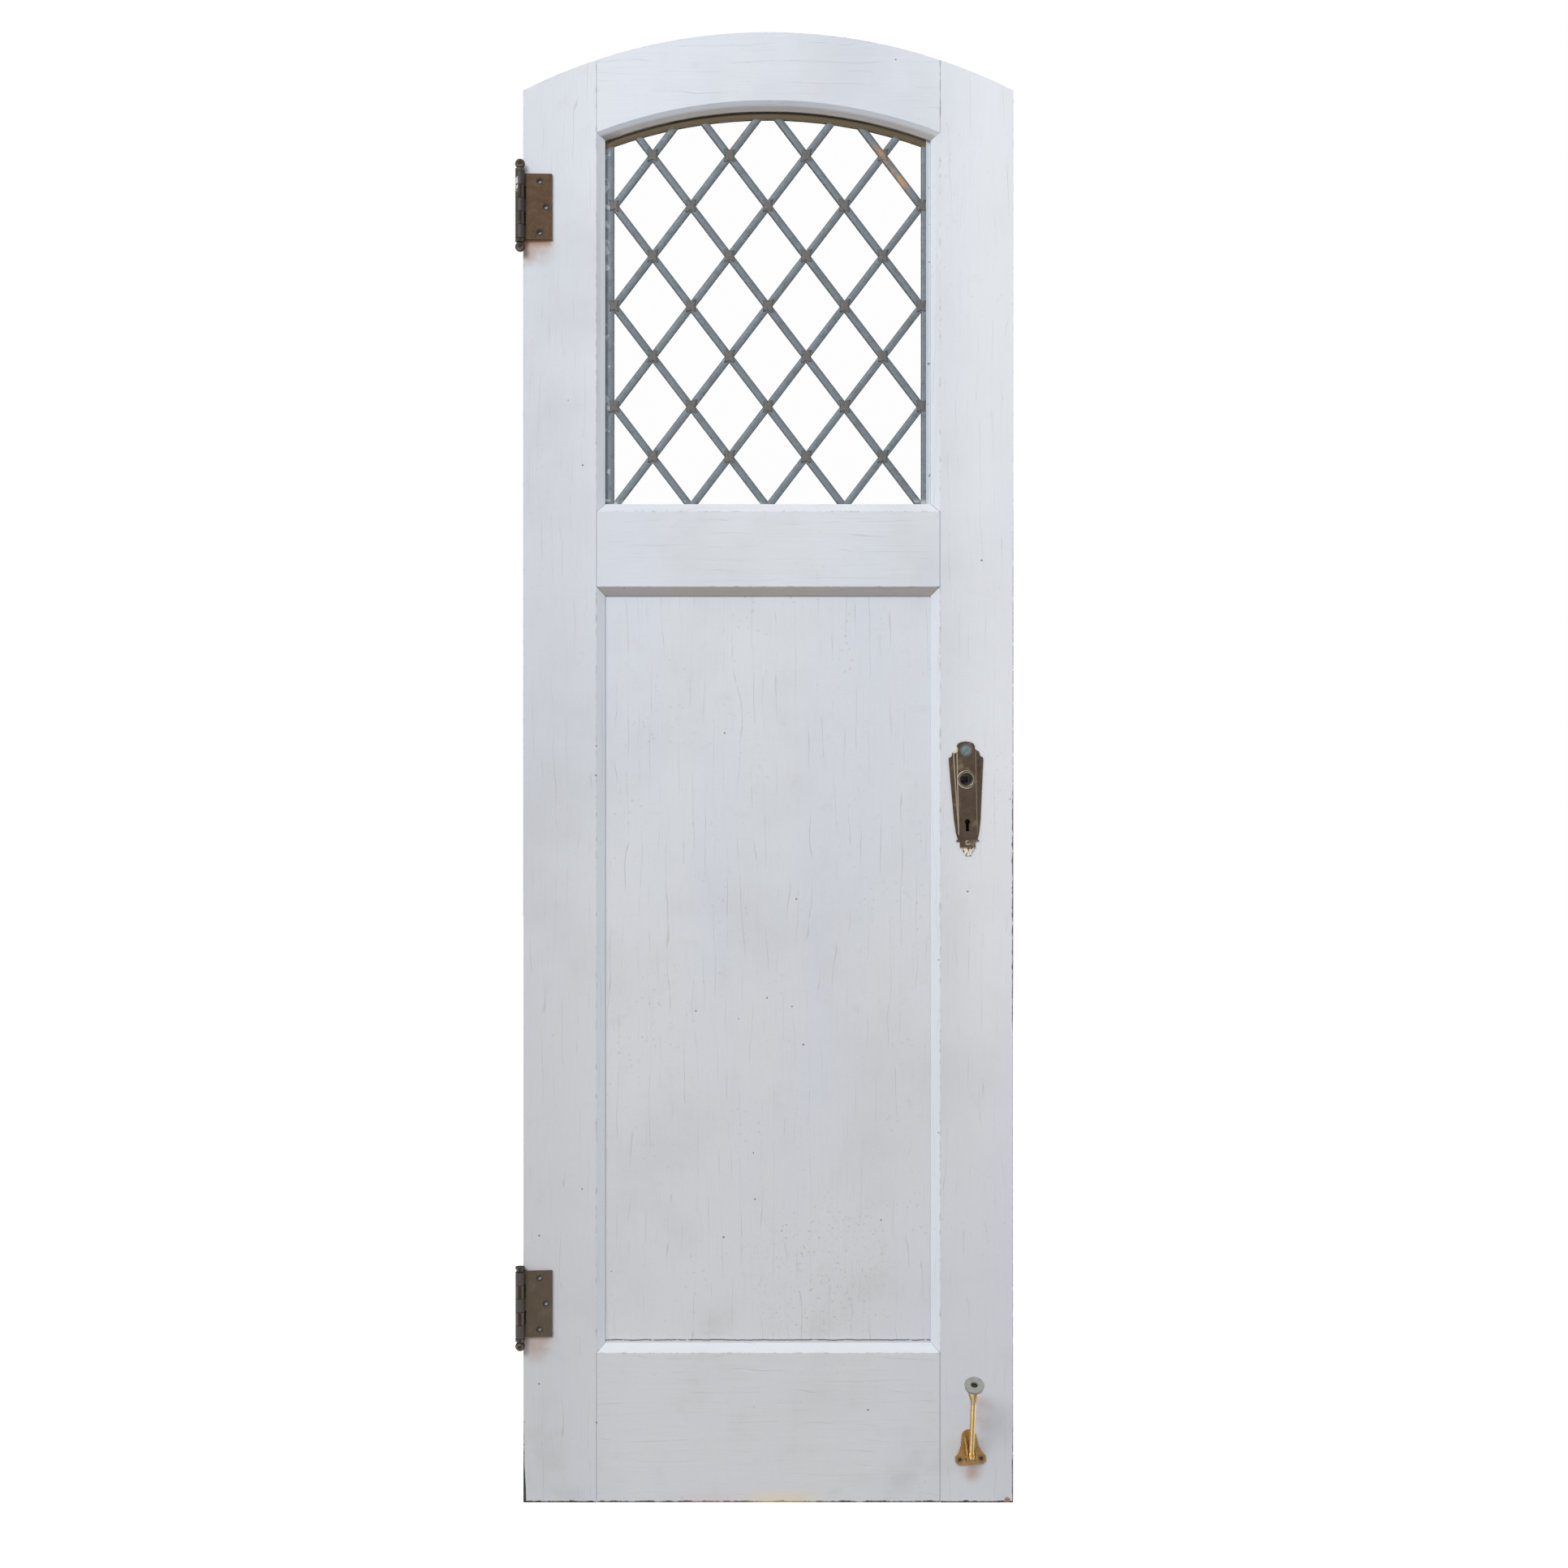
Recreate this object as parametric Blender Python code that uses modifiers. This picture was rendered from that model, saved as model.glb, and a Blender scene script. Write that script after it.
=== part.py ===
"""Narrow arched-top front door with a leaded light, hinges, lock plate and door holder.

The door stands in the XZ plane with its front towards -Y. Everything is laid out in the door's
own coordinates: X from the middle of the door, Y from the front face inwards, Z from the bottom
edge. One empty then shifts it all, so that the world origin is on the lower hinge's pin.
"""
from math import asin, cos, pi, radians, sin, sqrt

import bmesh
import bpy
from mathutils import Matrix, Vector

# Door leaf
DOOR_WIDTH = 0.6604
DOOR_HEIGHT = 1.9812
DOOR_THICKNESS = 0.04445
ARCH_RISE = 0.0786
STILE_FACE = 0.0985
TOP_RAIL_FACE = 0.0914
BOTTOM_RAIL_FACE = 0.2015
MIDDLE_RAIL_BOTTOM = 1.2343
MIDDLE_RAIL_FACE = 0.1012
JOINT_GAP = 0.0004
GAP = 0.0003
ARCH_STEPS = 18
STILE_HEAD_STEPS = 4

# Splayed edge round both openings
SPLAY_WIDTH = 0.0115
SPLAY_DEPTH = 0.0095

# Lower panel
PANEL_SETBACK = 0.0115
PANEL_THICKNESS = 0.0095
GROOVE_DEPTH = 0.0090

# Leaded light
LIGHT_SETBACK = 0.0145
REBATE_WIDTH = 0.0080
CAME_THICKNESS = 0.0060
CAME_FACE = 0.0095
CAME_HEART = 0.0015
BORDER_SHOWS_AT_TOP = 0.0093
BORDER_SHOWS_AT_SIDE = 0.0122
BORDER_FLOOR_HIDDEN = 0.0015
PANE_THICKNESS = 0.0030
PANE_LAP = 0.0045
SIDE_COLUMN = 4
TOP_ROW = 7
ROWS_TO_CROWN = 7.72
LATTICE_DROP = 0.0032
BEAD_SETBACK = 0.0030

# Hinges
HINGE_HEIGHT = 0.0889
HINGE_REACH = 0.0430
LEAF_THICKNESS = 0.0030
BARREL_RADIUS = 0.00635
PIN_RADIUS = 0.0030
PIN_CLEARANCE = 0.0004
KNUCKLES = 5
KNUCKLE_GAP = 0.0005
LEAF_CLEARANCE = 0.0014
AXIS_PROUD = 0.0092
UPPER_HINGE_FROM_TOP = 0.2362
LOWER_HINGE_Z = 0.2690
SCREW_RADIUS = 0.0026
COUNTERSINK_RADIUS = 0.0045
COUNTERSINK_DEPTH = 0.0020
SCREW_INSET = 0.0100
SCREW_REACH_NEAR = 0.0260
SCREW_REACH_FAR = 0.0345
BALL_RADIUS = 0.0066
BALL_STEPS = 6
PIN_SIDES = 18
NECK_RADIUS = 0.0038
NECK_HEIGHT = 0.0010
COLLAR_HEIGHT = 0.0046
COLLAR_EASE = 0.0007
BUTTON_RADIUS = 0.0064
BUTTON_HEIGHT = 0.0068
BUTTON_RIM = 0.0026
BUTTON_EASE = 0.0010
BUTTON_NECK_RADIUS = 0.0052

# Lock and its plates
BACKSET = 0.0635
KNOB_Z = 0.9745
KNOB_TO_KEYHOLE = 0.05715
KNOB_HOLE_RADIUS = 0.0088
KNOB_COLLAR_RADIUS = 0.01195
COLLAR_PROUD = 0.0016
PLATE_LENGTH = 0.1540
PLATE_WIDTH = 0.0464
PLATE_ABOVE_KNOB = 0.0512
PLATE_THICKNESS = 0.0016
PLATE_RIDGE = 0.0009
KEYHOLE_RADIUS = 0.0038
KEYHOLE_SLOT = 0.0044
KEYHOLE_DROP = 0.0128
PLATE_TILT = radians(1.2)
CASE_DEPTH = 0.0850
CASE_HEIGHT = 0.1300
CASE_THICKNESS = 0.0160
FACEPLATE_HEIGHT = 0.1750
FACEPLATE_WIDTH = 0.0220
FACEPLATE_THICKNESS = 0.0025
SPINDLE_SQUARE = 0.0080
BOLT_HEIGHT = 0.0150
BOLT_THICKNESS = 0.0110
BOLT_LENGTH = 0.0380
BOLT_PROUD = 0.0020
BOLT_BELOW_KNOB = 0.0198

# Door holder
HOLDER_FROM_EDGE = 0.0585
HOLDER_PIVOT_Z = 0.0675
HOLDER_PIVOT_PROUD = 0.0140
HOLDER_FOOT_WIDTH = 0.0410
HOLDER_FOOT_HEIGHT = 0.0150
HOLDER_TOP_WIDTH = 0.0200
HOLDER_HEIGHT = 0.0470
HOLDER_FOOT_DROP = 0.0155
HOLDER_PLATE = 0.0025
HOLDER_HOLE_RADIUS = 0.0028
HOLDER_HOLE_SPACING = 0.0292
LUG_THICKNESS = 0.0024
LUG_NOSE = 0.0068
HOLDER_CORNER = 0.0040
HOLDER_WAIST = 0.0015
RIVET_HEAD = 0.0008
ARM_RADIUS = 0.0037
ARM_LENGTH = 0.1400
ARM_CUP_RADIUS = 0.0086
ARM_CUP_LENGTH = 0.0340
ARM_BOSS_RADIUS = 0.0060
ARM_SIDE_PLAY = 0.0005
ARM_LEAN = radians(33.5)
ARM_START = 0.0020
ARM_RIM = 0.0020
HOLDER_TILT = radians(4)
RIVET_RADIUS = 0.0024
TIP_RADIUS = 0.0130
TIP_THICKNESS = 0.0055
TIP_HOLE_RADIUS = 0.0045
TIP_HOLE_DEPTH = 0.0035
TIP_EASE = 0.0010
TIP_TAPER = 0.0010

OVERSHOOT = 0.0030
ROUND_SIDES = 24
SMOOTH_ANGLE = radians(35)

# Worked out from the sizes above
HALF_WIDTH = DOOR_WIDTH / 2
UPPER_HINGE_Z = DOOR_HEIGHT - UPPER_HINGE_FROM_TOP
ARCH_RADIUS = (HALF_WIDTH ** 2 + ARCH_RISE ** 2) / (2 * ARCH_RISE)
ARCH_CENTRE_Z = DOOR_HEIGHT - ARCH_RADIUS
OPENING_HALF = HALF_WIDTH - STILE_FACE
LIGHT_RADIUS = ARCH_RADIUS - TOP_RAIL_FACE
LIGHT_FLOOR = MIDDLE_RAIL_BOTTOM + MIDDLE_RAIL_FACE
CAME_FRONT = LIGHT_SETBACK + GAP
CAME_MIDDLE = CAME_FRONT + CAME_THICKNESS / 2
BORDER_HALF = OPENING_HALF - SPLAY_WIDTH - BORDER_SHOWS_AT_SIDE
BORDER_RADIUS = LIGHT_RADIUS - SPLAY_WIDTH - BORDER_SHOWS_AT_TOP
BORDER_FLOOR = LIGHT_FLOOR + SPLAY_WIDTH - BORDER_FLOOR_HIDDEN
LATTICE_FLOOR = LIGHT_FLOOR + SPLAY_WIDTH - LATTICE_DROP
DIAMOND_HALF_WIDTH = BORDER_HALF / SIDE_COLUMN
DIAMOND_HALF_HEIGHT = (ARCH_CENTRE_Z + BORDER_RADIUS - LATTICE_FLOOR) / ROWS_TO_CROWN
AXIS_OUT = BARREL_RADIUS - LEAF_THICKNESS
AXIS_X = -HALF_WIDTH - AXIS_OUT
BORE_RADIUS = PIN_RADIUS + PIN_CLEARANCE
JAMB_LEAF_SLOPE = asin((AXIS_PROUD - GAP - BARREL_RADIUS) / HINGE_REACH)
LOCK_X = HALF_WIDTH - BACKSET
KEYHOLE_Z = KNOB_Z - KNOB_TO_KEYHOLE
DOOR_MIDDLE_Y = DOOR_THICKNESS / 2
HOLDER_X = HALF_WIDTH - HOLDER_FROM_EDGE
LUG_INSIDE = ARM_RADIUS + 2 * ARM_SIDE_PLAY


def clear_scene():
    """Empty the file of what it opened with."""
    for old in list(bpy.data.objects):
        bpy.data.objects.remove(old, do_unlink=True)


def new_collection(name):
    """A collection under the scene's own."""
    collection = bpy.data.collections.new(name)
    bpy.context.scene.collection.children.link(collection)
    return collection


def new_material(name, colour, roughness, metallic=0.0, alpha=1.0):
    """A plain Principled material."""
    material = bpy.data.materials.new(name)
    material.use_nodes = True
    shader = material.node_tree.nodes["Principled BSDF"]
    shader.inputs["Base Color"].default_value = (*colour, 1.0)
    shader.inputs["Roughness"].default_value = roughness
    shader.inputs["Metallic"].default_value = metallic
    shader.inputs["Alpha"].default_value = alpha
    return material


class Workshop:
    """The collections, the shifted origin and the materials that every piece uses."""

    def __init__(self):
        self.parts = new_collection("leaded_glass_front_door")
        self.cutters = new_collection("cutters")
        self.origin = bpy.data.objects.new("door_origin", None)
        self.origin.location = (-AXIS_X, AXIS_PROUD, -LOWER_HINGE_Z)
        self.parts.objects.link(self.origin)
        self.paint = new_material("old_white_paint", (0.66, 0.69, 0.73), 0.5)
        self.lead = new_material("lead_came", (0.23, 0.28, 0.31), 0.55, 0.6)
        self.glass = new_material("clear_glass", (0.9, 0.95, 0.95), 0.05, 0.0, 0.25)
        self.bronze = new_material("worn_bronze", (0.12, 0.09, 0.06), 0.4, 0.9)
        self.brown_brass = new_material("tarnished_brass", (0.18, 0.11, 0.06), 0.45, 0.9)
        self.iron = new_material("dark_iron", (0.07, 0.065, 0.06), 0.5, 0.9)
        self.brass = new_material("polished_brass", (0.60, 0.42, 0.15), 0.25, 1.0)
        self.rubber = new_material("grey_rubber", (0.30, 0.30, 0.30), 0.8)

    def add_part(self, obj, material, parent=None):
        """Put a finished piece in the door's collection, under the origin or its own axis."""
        obj.data.materials.clear()
        obj.data.materials.append(material)
        obj.data.shade_smooth()
        obj.data.set_sharp_from_angle(angle=SMOOTH_ANGLE)
        obj.parent = parent or self.origin
        self.parts.objects.link(obj)
        return obj

    def add_cutter(self, obj, parent=None):
        """Put a cutting shape among the cutters, hidden from the model."""
        obj.parent = parent or self.origin
        obj.hide_render = True
        obj.display_type = 'WIRE'
        self.cutters.objects.link(obj)
        return obj

    def add_axis(self, name, location):
        """An empty on a joint's axis, which carries the pieces that turn there."""
        axis = bpy.data.objects.new(name, None)
        axis.location = location
        axis.parent = self.origin
        self.parts.objects.link(axis)
        return axis


def boolean(obj, other, operation='DIFFERENCE'):
    """Cut a piece with another shape, or join the shape to it."""
    modifier = obj.modifiers.new(operation.lower(), 'BOOLEAN')
    modifier.operation = operation
    modifier.object = other
    modifier.solver = 'EXACT'


def mesh_object(name, mesh_maker):
    """An object whose mesh is filled in by a function that takes a bmesh."""
    mesh = bpy.data.meshes.new(name)
    shape = bmesh.new()
    mesh_maker(shape)
    bmesh.ops.recalc_face_normals(shape, faces=shape.faces)
    shape.to_mesh(mesh)
    shape.free()
    return bpy.data.objects.new(name, mesh)


def box(name, low, high):
    """A box between two opposite corners."""
    low, high = Vector(low), Vector(high)

    def fill(shape):
        place = Matrix.Translation((low + high) / 2) @ Matrix.Diagonal((*(high - low), 1))
        bmesh.ops.create_cube(shape, size=1, matrix=place)

    return mesh_object(name, fill)


def add_round(shape, centre, axis, length, radius, end_radius=None, sides=ROUND_SIDES):
    """Add a cylinder or cone to a bmesh, from its centre along an axis."""
    turn = Vector((0, 0, 1)).rotation_difference(Vector(axis)).to_matrix().to_4x4()
    bmesh.ops.create_cone(
        shape, cap_ends=True, segments=sides, radius1=radius, depth=length,
        radius2=radius if end_radius is None else end_radius,
        matrix=Matrix.Translation(centre) @ turn)


def rod(name, centre, axis, length, radius, end_radius=None, sides=ROUND_SIDES):
    """A cylinder or cone as an object."""
    return mesh_object(
        name, lambda shape: add_round(shape, centre, axis, length, radius, end_radius, sides))


def prism(name, outlines, y_front, y_back):
    """A flat outline in XZ, with any holes in it, carried through from one depth to another."""
    curve = bpy.data.curves.new(name, 'CURVE')
    curve.dimensions = '2D'
    curve.fill_mode = 'BOTH'
    curve.extrude = (y_back - y_front) / 2
    for outline in outlines:
        spline = curve.splines.new('POLY')
        spline.points.add(len(outline) - 1)
        spline.use_cyclic_u = True
        for point, (across, up) in zip(spline.points, outline):
            point.co = (across, up, 0, 1)
    drawn = bpy.data.objects.new(name + "_outline", curve)
    bpy.context.scene.collection.objects.link(drawn)
    graph = bpy.context.evaluated_depsgraph_get()
    mesh = bpy.data.meshes.new_from_object(drawn.evaluated_get(graph))
    bpy.data.objects.remove(drawn, do_unlink=True)
    bpy.data.curves.remove(curve)

    shape = bmesh.new()
    shape.from_mesh(mesh)
    bmesh.ops.remove_doubles(shape, verts=shape.verts, dist=0.00001)
    stand_up = Matrix.Translation((0, (y_front + y_back) / 2, 0)) @ Matrix.Rotation(pi / 2, 4, 'X')
    bmesh.ops.transform(shape, matrix=stand_up, verts=shape.verts)
    bmesh.ops.dissolve_limit(
        shape, angle_limit=radians(0.5), verts=shape.verts, edges=shape.edges)
    bmesh.ops.recalc_face_normals(shape, faces=shape.faces)
    shape.to_mesh(mesh)
    shape.free()
    return bpy.data.objects.new(name, mesh)


def turned(name, profile, sides=ROUND_SIDES):
    """A shape turned about Z from a profile of (radius, height), listed from the top down."""
    mesh = bpy.data.meshes.new(name)
    corners = [(radius, 0, height) for radius, height in profile]
    mesh.from_pydata(corners, [(i, i + 1) for i in range(len(corners) - 1)], [])
    obj = bpy.data.objects.new(name, mesh)
    screw = obj.modifiers.new("turn", 'SCREW')
    screw.steps = sides
    screw.render_steps = sides
    screw.use_merge_vertices = True
    screw.merge_threshold = 0.00001
    screw.use_smooth_shade = True
    return obj


def arc_points(radius, x_from, x_to, steps=ARCH_STEPS):
    """Points of an arch about the door's arch centre, from one X to another."""
    start, end = asin(x_from / radius), asin(x_to / radius)
    turns = [start + (end - start) * i / steps for i in range(steps + 1)]
    return [(radius * sin(turn), ARCH_CENTRE_Z + radius * cos(turn)) for turn in turns]


def arch_height(radius, x):
    """Height of an arch about the door's arch centre at one X."""
    return ARCH_CENTRE_Z + sqrt(radius ** 2 - x ** 2)


def circle_points(x, z, radius, sides=ROUND_SIDES):
    """Corners of a round hole in an outline."""
    turns = [2 * pi * i / sides for i in range(sides)]
    return [(x + radius * cos(turn), z + radius * sin(turn)) for turn in turns]


def arched_outline(half, floor, radius):
    """A window shape: flat sill, upright sides and the door's arch."""
    return [(-half, floor), (half, floor)] + arc_points(radius, half, -half)


def light_outline(inset):
    """The light's opening, drawn in from the splay's outer edge."""
    return arched_outline(OPENING_HALF - inset, LIGHT_FLOOR + inset, LIGHT_RADIUS - inset)


def panel_outline(inset):
    """The lower panel's opening, drawn in from the splay's outer edge."""
    half = OPENING_HALF - inset
    low, high = BOTTOM_RAIL_FACE + inset, MIDDLE_RAIL_BOTTOM - inset
    return [(-half, low), (half, low), (half, high), (-half, high)]


def border_outline(grow):
    """The sight line of the lead border, let out by an amount."""
    return arched_outline(BORDER_HALF + grow, BORDER_FLOOR - grow, BORDER_RADIUS + grow)


def splay_cutter(name, outline_at):
    """The sloping edge of an opening: a loft between its outline at two depths."""
    slope = SPLAY_WIDTH / SPLAY_DEPTH
    depths = (-OVERSHOOT, SPLAY_DEPTH + OVERSHOOT)

    def fill(shape):
        rings = []
        for depth in depths:
            corners = outline_at(depth * slope)
            rings.append([shape.verts.new((across, depth, up)) for across, up in corners])
            shape.faces.new(rings[-1])
        count = len(rings[0])
        for i in range(count):
            j = (i + 1) % count
            shape.faces.new((rings[0][i], rings[0][j], rings[1][j], rings[1][i]))

    return mesh_object(name, fill)


def opening_cutters(shop):
    """What is cut from the frame for the light and for the panel."""
    through = (-OVERSHOOT, DOOR_THICKNESS + OVERSHOOT)
    light = [
        splay_cutter("light_splay", light_outline),
        prism("light_through", [light_outline(SPLAY_WIDTH)], *through),
        prism("light_rebate", [light_outline(SPLAY_WIDTH - REBATE_WIDTH)],
              LIGHT_SETBACK, DOOR_THICKNESS + OVERSHOOT)]
    panel = [
        splay_cutter("panel_splay", panel_outline),
        prism("panel_through", [panel_outline(SPLAY_WIDTH)], *through),
        prism("panel_groove", [panel_outline(SPLAY_WIDTH - GROOVE_DEPTH - GAP)],
              PANEL_SETBACK, PANEL_SETBACK + PANEL_THICKNESS + 2 * GAP)]
    for cutter in light + panel:
        shop.add_cutter(cutter)
    return light, panel


def mitre_corners(gap=0.0):
    """Where stile and rails meet: at the splays' outer corners and inside them, by height."""
    outer = OPENING_HALF - gap
    inset = SPLAY_WIDTH + OVERSHOOT
    inner = outer - inset
    return {
        "panel_low": [(outer, BOTTOM_RAIL_FACE), (inner, BOTTOM_RAIL_FACE + inset)],
        "panel_high": [(inner, MIDDLE_RAIL_BOTTOM - inset), (outer, MIDDLE_RAIL_BOTTOM)],
        "light_low": [(outer, LIGHT_FLOOR), (inner, LIGHT_FLOOR + inset)],
        "light_high": [(inner, arch_height(LIGHT_RADIUS - inset, OPENING_HALF - inset)),
                       (outer, arch_height(LIGHT_RADIUS, OPENING_HALF))]}


def mirrored(points):
    """The same points on the other side of the door's middle."""
    return [(-x, z) for x, z in points]


def stile_points():
    """The right stile's outline, its head cut to the arch."""
    corners = mitre_corners()
    head = arc_points(ARCH_RADIUS, OPENING_HALF, HALF_WIDTH, STILE_HEAD_STEPS)
    return ([(HALF_WIDTH, 0), (OPENING_HALF, 0)] + corners["panel_low"] + corners["panel_high"]
            + corners["light_low"] + corners["light_high"] + head)


def rail_outlines():
    """Top, middle and bottom rail between the stiles."""
    corners = mitre_corners(JOINT_GAP)
    outer = OPENING_HALF - JOINT_GAP
    inset = SPLAY_WIDTH + OVERSHOOT
    inner = corners["light_high"][0][0]
    top = arc_points(ARCH_RADIUS, -outer, outer) + corners["light_high"][::-1]
    top += arc_points(LIGHT_RADIUS - inset, inner, -inner)[1:-1]
    top += mirrored(corners["light_high"])
    low_side = corners["panel_high"] + corners["light_low"]
    middle = low_side + mirrored(low_side)[::-1]
    foot = [(outer, 0)] + corners["panel_low"]
    bottom = foot + mirrored(foot)[::-1]
    return {"top_rail": top, "middle_rail": middle, "bottom_rail": bottom}


def build_frame(shop, light, panel):
    """Stiles and rails, each a board cut by the openings' shared cutters."""
    right = stile_points()
    cuts = {"hinge_stile": light + panel, "lock_stile": light + panel,
            "top_rail": light, "middle_rail": light + panel, "bottom_rail": panel}
    outlines = {"hinge_stile": mirrored(right), "lock_stile": right, **rail_outlines()}
    boards = {}
    for name, outline in outlines.items():
        board = shop.add_part(prism(name, [outline], 0, DOOR_THICKNESS), shop.paint)
        for cutter in cuts[name]:
            boolean(board, cutter)
        boards[name] = board
    return boards


def build_panel(shop):
    """The flat board in the lower opening, held in the grooves."""
    front = PANEL_SETBACK + GAP
    outline = panel_outline(SPLAY_WIDTH - GROOVE_DEPTH)
    shop.add_part(prism("panel", [outline], front, front + PANEL_THICKNESS), shop.paint)


def clip(polygon, keep):
    """The part of a polygon where a function of the point is at least zero."""
    kept = []
    for a, b in zip(polygon, polygon[1:] + polygon[:1]):
        value_a, value_b = keep(a), keep(b)
        if value_a >= 0:
            kept.append(a)
        if value_a * value_b < 0:
            share = value_a / (value_a - value_b)
            kept.append((a[0] + (b[0] - a[0]) * share, a[1] + (b[1] - a[1]) * share))
    return kept


def side_of(start, end):
    """Distance of a point to the left of a line, as a function of the point."""
    along = Vector((end[0] - start[0], end[1] - start[1])).normalized()
    return lambda p: along.x * (p[1] - start[1]) - along.y * (p[0] - start[0])


def cell_outline(column, row, came_half, grow):
    """One diamond of the lattice, inside half a came's width and inside the border."""
    across, up = DIAMOND_HALF_WIDTH, DIAMOND_HALF_HEIGHT
    shrink = came_half * sqrt(1 / across ** 2 + 1 / up ** 2)
    x, z = column * across, LATTICE_FLOOR + row * up
    across, up = across * (1 - shrink), up * (1 - shrink)
    outline = [(x - across, z), (x, z - up), (x + across, z), (x, z + up)]
    border = border_outline(grow)
    for start, end in zip(border, border[1:] + border[:1]):
        outline = clip(outline, side_of(start, end))
    return outline


def lattice_cells():
    """Column and row of each diamond that shows, whole or cut."""
    columns = range(-SIDE_COLUMN, SIDE_COLUMN + 1)
    rows = range(TOP_ROW + 2)
    return [(column, row) for row in rows for column in columns if (column + row) % 2]


def build_light(shop):
    """The soldered lead lattice and the panes that lie in its grooves."""
    cells = lattice_cells()
    outline = light_outline(SPLAY_WIDTH - REBATE_WIDTH + GAP)
    holes = [cell_outline(*cell, CAME_FACE / 2, 0) for cell in cells]
    back = CAME_FRONT + CAME_THICKNESS
    came = shop.add_part(prism("lead_came", [outline] + holes, CAME_FRONT, back), shop.lead)

    half_groove = PANE_THICKNESS / 2 + GAP
    grooves = [cell_outline(*cell, CAME_HEART / 2, PANE_LAP) for cell in cells]
    groove_cutter = prism("pane_grooves", grooves, CAME_MIDDLE - half_groove,
                          CAME_MIDDLE + half_groove)
    boolean(came, shop.add_cutter(groove_cutter))

    half_pane = PANE_THICKNESS / 2
    for column, row in cells:
        if row > TOP_ROW:
            continue
        pane = cell_outline(column, row, CAME_HEART / 2 + GAP, PANE_LAP - GAP)
        name = f"pane_row{row}_column{column + SIDE_COLUMN}"
        shop.add_part(
            prism(name, [pane], CAME_MIDDLE - half_pane, CAME_MIDDLE + half_pane), shop.glass)


def build_bead(shop):
    """The wooden bead that holds the light in its rebate from behind."""
    outer = light_outline(SPLAY_WIDTH - REBATE_WIDTH + GAP)
    inner = light_outline(SPLAY_WIDTH)
    front = CAME_FRONT + CAME_THICKNESS + GAP
    back = DOOR_THICKNESS - BEAD_SETBACK
    shop.add_part(prism("glazing_bead", [outer, inner], front, back), shop.paint)


def knuckle_span(index):
    """Bottom and top of one knuckle, from the hinge's middle."""
    pitch = HINGE_HEIGHT / KNUCKLES
    low = -HINGE_HEIGHT / 2 + index * pitch
    return low + KNUCKLE_GAP / 2, low + pitch - KNUCKLE_GAP / 2


def leaf_outline(own):
    """A leaf seen flat, as (distance from the pin, height), with tabs to its own knuckles."""
    root = BARREL_RADIUS + LEAF_CLEARANCE
    half = HINGE_HEIGHT / 2
    points = [(HINGE_REACH, -half), (HINGE_REACH, half)]
    for index in reversed(range(KNUCKLES)):
        low, high = knuckle_span(index)
        if index in own:
            points += [(root, high), (0, high), (0, low), (root, low)]
    if 0 not in own:
        points.append((root, -half))
    if KNUCKLES - 1 not in own:
        points.insert(2, (root, half))
    tidy = []
    for point in points:
        if point not in tidy:
            tidy.append(point)
    return tidy


def build_leaf(shop, name, own, side, axis, turn, material):
    """One hinge leaf: plate, knuckles, bore and countersunk screw holes."""
    leaf = prism(name, [leaf_outline(own)], BARREL_RADIUS - LEAF_THICKNESS, BARREL_RADIUS)
    leaf.data.transform(Matrix.Rotation(pi / 2, 4, 'Z') @ Matrix.Diagonal((1, -side, 1, 1)))
    if side > 0:
        leaf.data.flip_normals()

    def add_knuckles(shape):
        for index in own:
            low, high = knuckle_span(index)
            add_round(shape, (0, 0, (low + high) / 2), (0, 0, 1), high - low, BARREL_RADIUS)

    face = side * (BARREL_RADIUS - LEAF_THICKNESS)
    screws = [(face, reach, step * (HINGE_HEIGHT / 2 - SCREW_INSET))
              for step, reach in ((-1, SCREW_REACH_NEAR), (0, SCREW_REACH_FAR),
                                  (1, SCREW_REACH_NEAR))]

    def add_screw_holes(shape):
        for place in screws:
            add_round(shape, place, (side, 0, 0), 4 * LEAF_THICKNESS, SCREW_RADIUS, sides=12)

    def add_countersinks(shape):
        widening = COUNTERSINK_RADIUS - SCREW_RADIUS
        for place in screws:
            add_round(shape, place, (side, 0, 0), 2 * COUNTERSINK_DEPTH,
                      COUNTERSINK_RADIUS + widening, SCREW_RADIUS, sides=12)

    leaf.rotation_euler = (0, 0, turn)
    shop.add_part(leaf, material, axis)
    knuckles = mesh_object(name + "_knuckles", add_knuckles)
    boolean(leaf, shop.add_cutter(knuckles, leaf), 'UNION')
    bore = rod(name + "_bore", (0, 0, 0), (0, 0, 1), HINGE_HEIGHT + 2 * OVERSHOOT, BORE_RADIUS)
    boolean(leaf, shop.add_cutter(bore, leaf))
    boolean(leaf, shop.add_cutter(mesh_object(name + "_countersinks", add_countersinks), leaf))
    boolean(leaf, shop.add_cutter(mesh_object(name + "_screw_holes", add_screw_holes), leaf))
    return leaf


def ball_profile(foot):
    """Profile of a collar, neck and ball above the barrel, from the ball's top down."""
    collar_top = foot + COLLAR_HEIGHT
    lowest = asin(NECK_RADIUS / BALL_RADIUS)
    ball_z = collar_top + NECK_HEIGHT + BALL_RADIUS * cos(lowest)
    turns = [(pi - lowest) * i / BALL_STEPS for i in range(BALL_STEPS + 1)]
    ball = [(BALL_RADIUS * sin(turn), ball_z + BALL_RADIUS * cos(turn)) for turn in turns]
    ball[0] = (0.0, ball_z + BALL_RADIUS)
    collar = [(NECK_RADIUS, collar_top), (BARREL_RADIUS - COLLAR_EASE, collar_top),
              (BARREL_RADIUS, collar_top - COLLAR_EASE), (BARREL_RADIUS, foot)]
    return ball + collar


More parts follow.
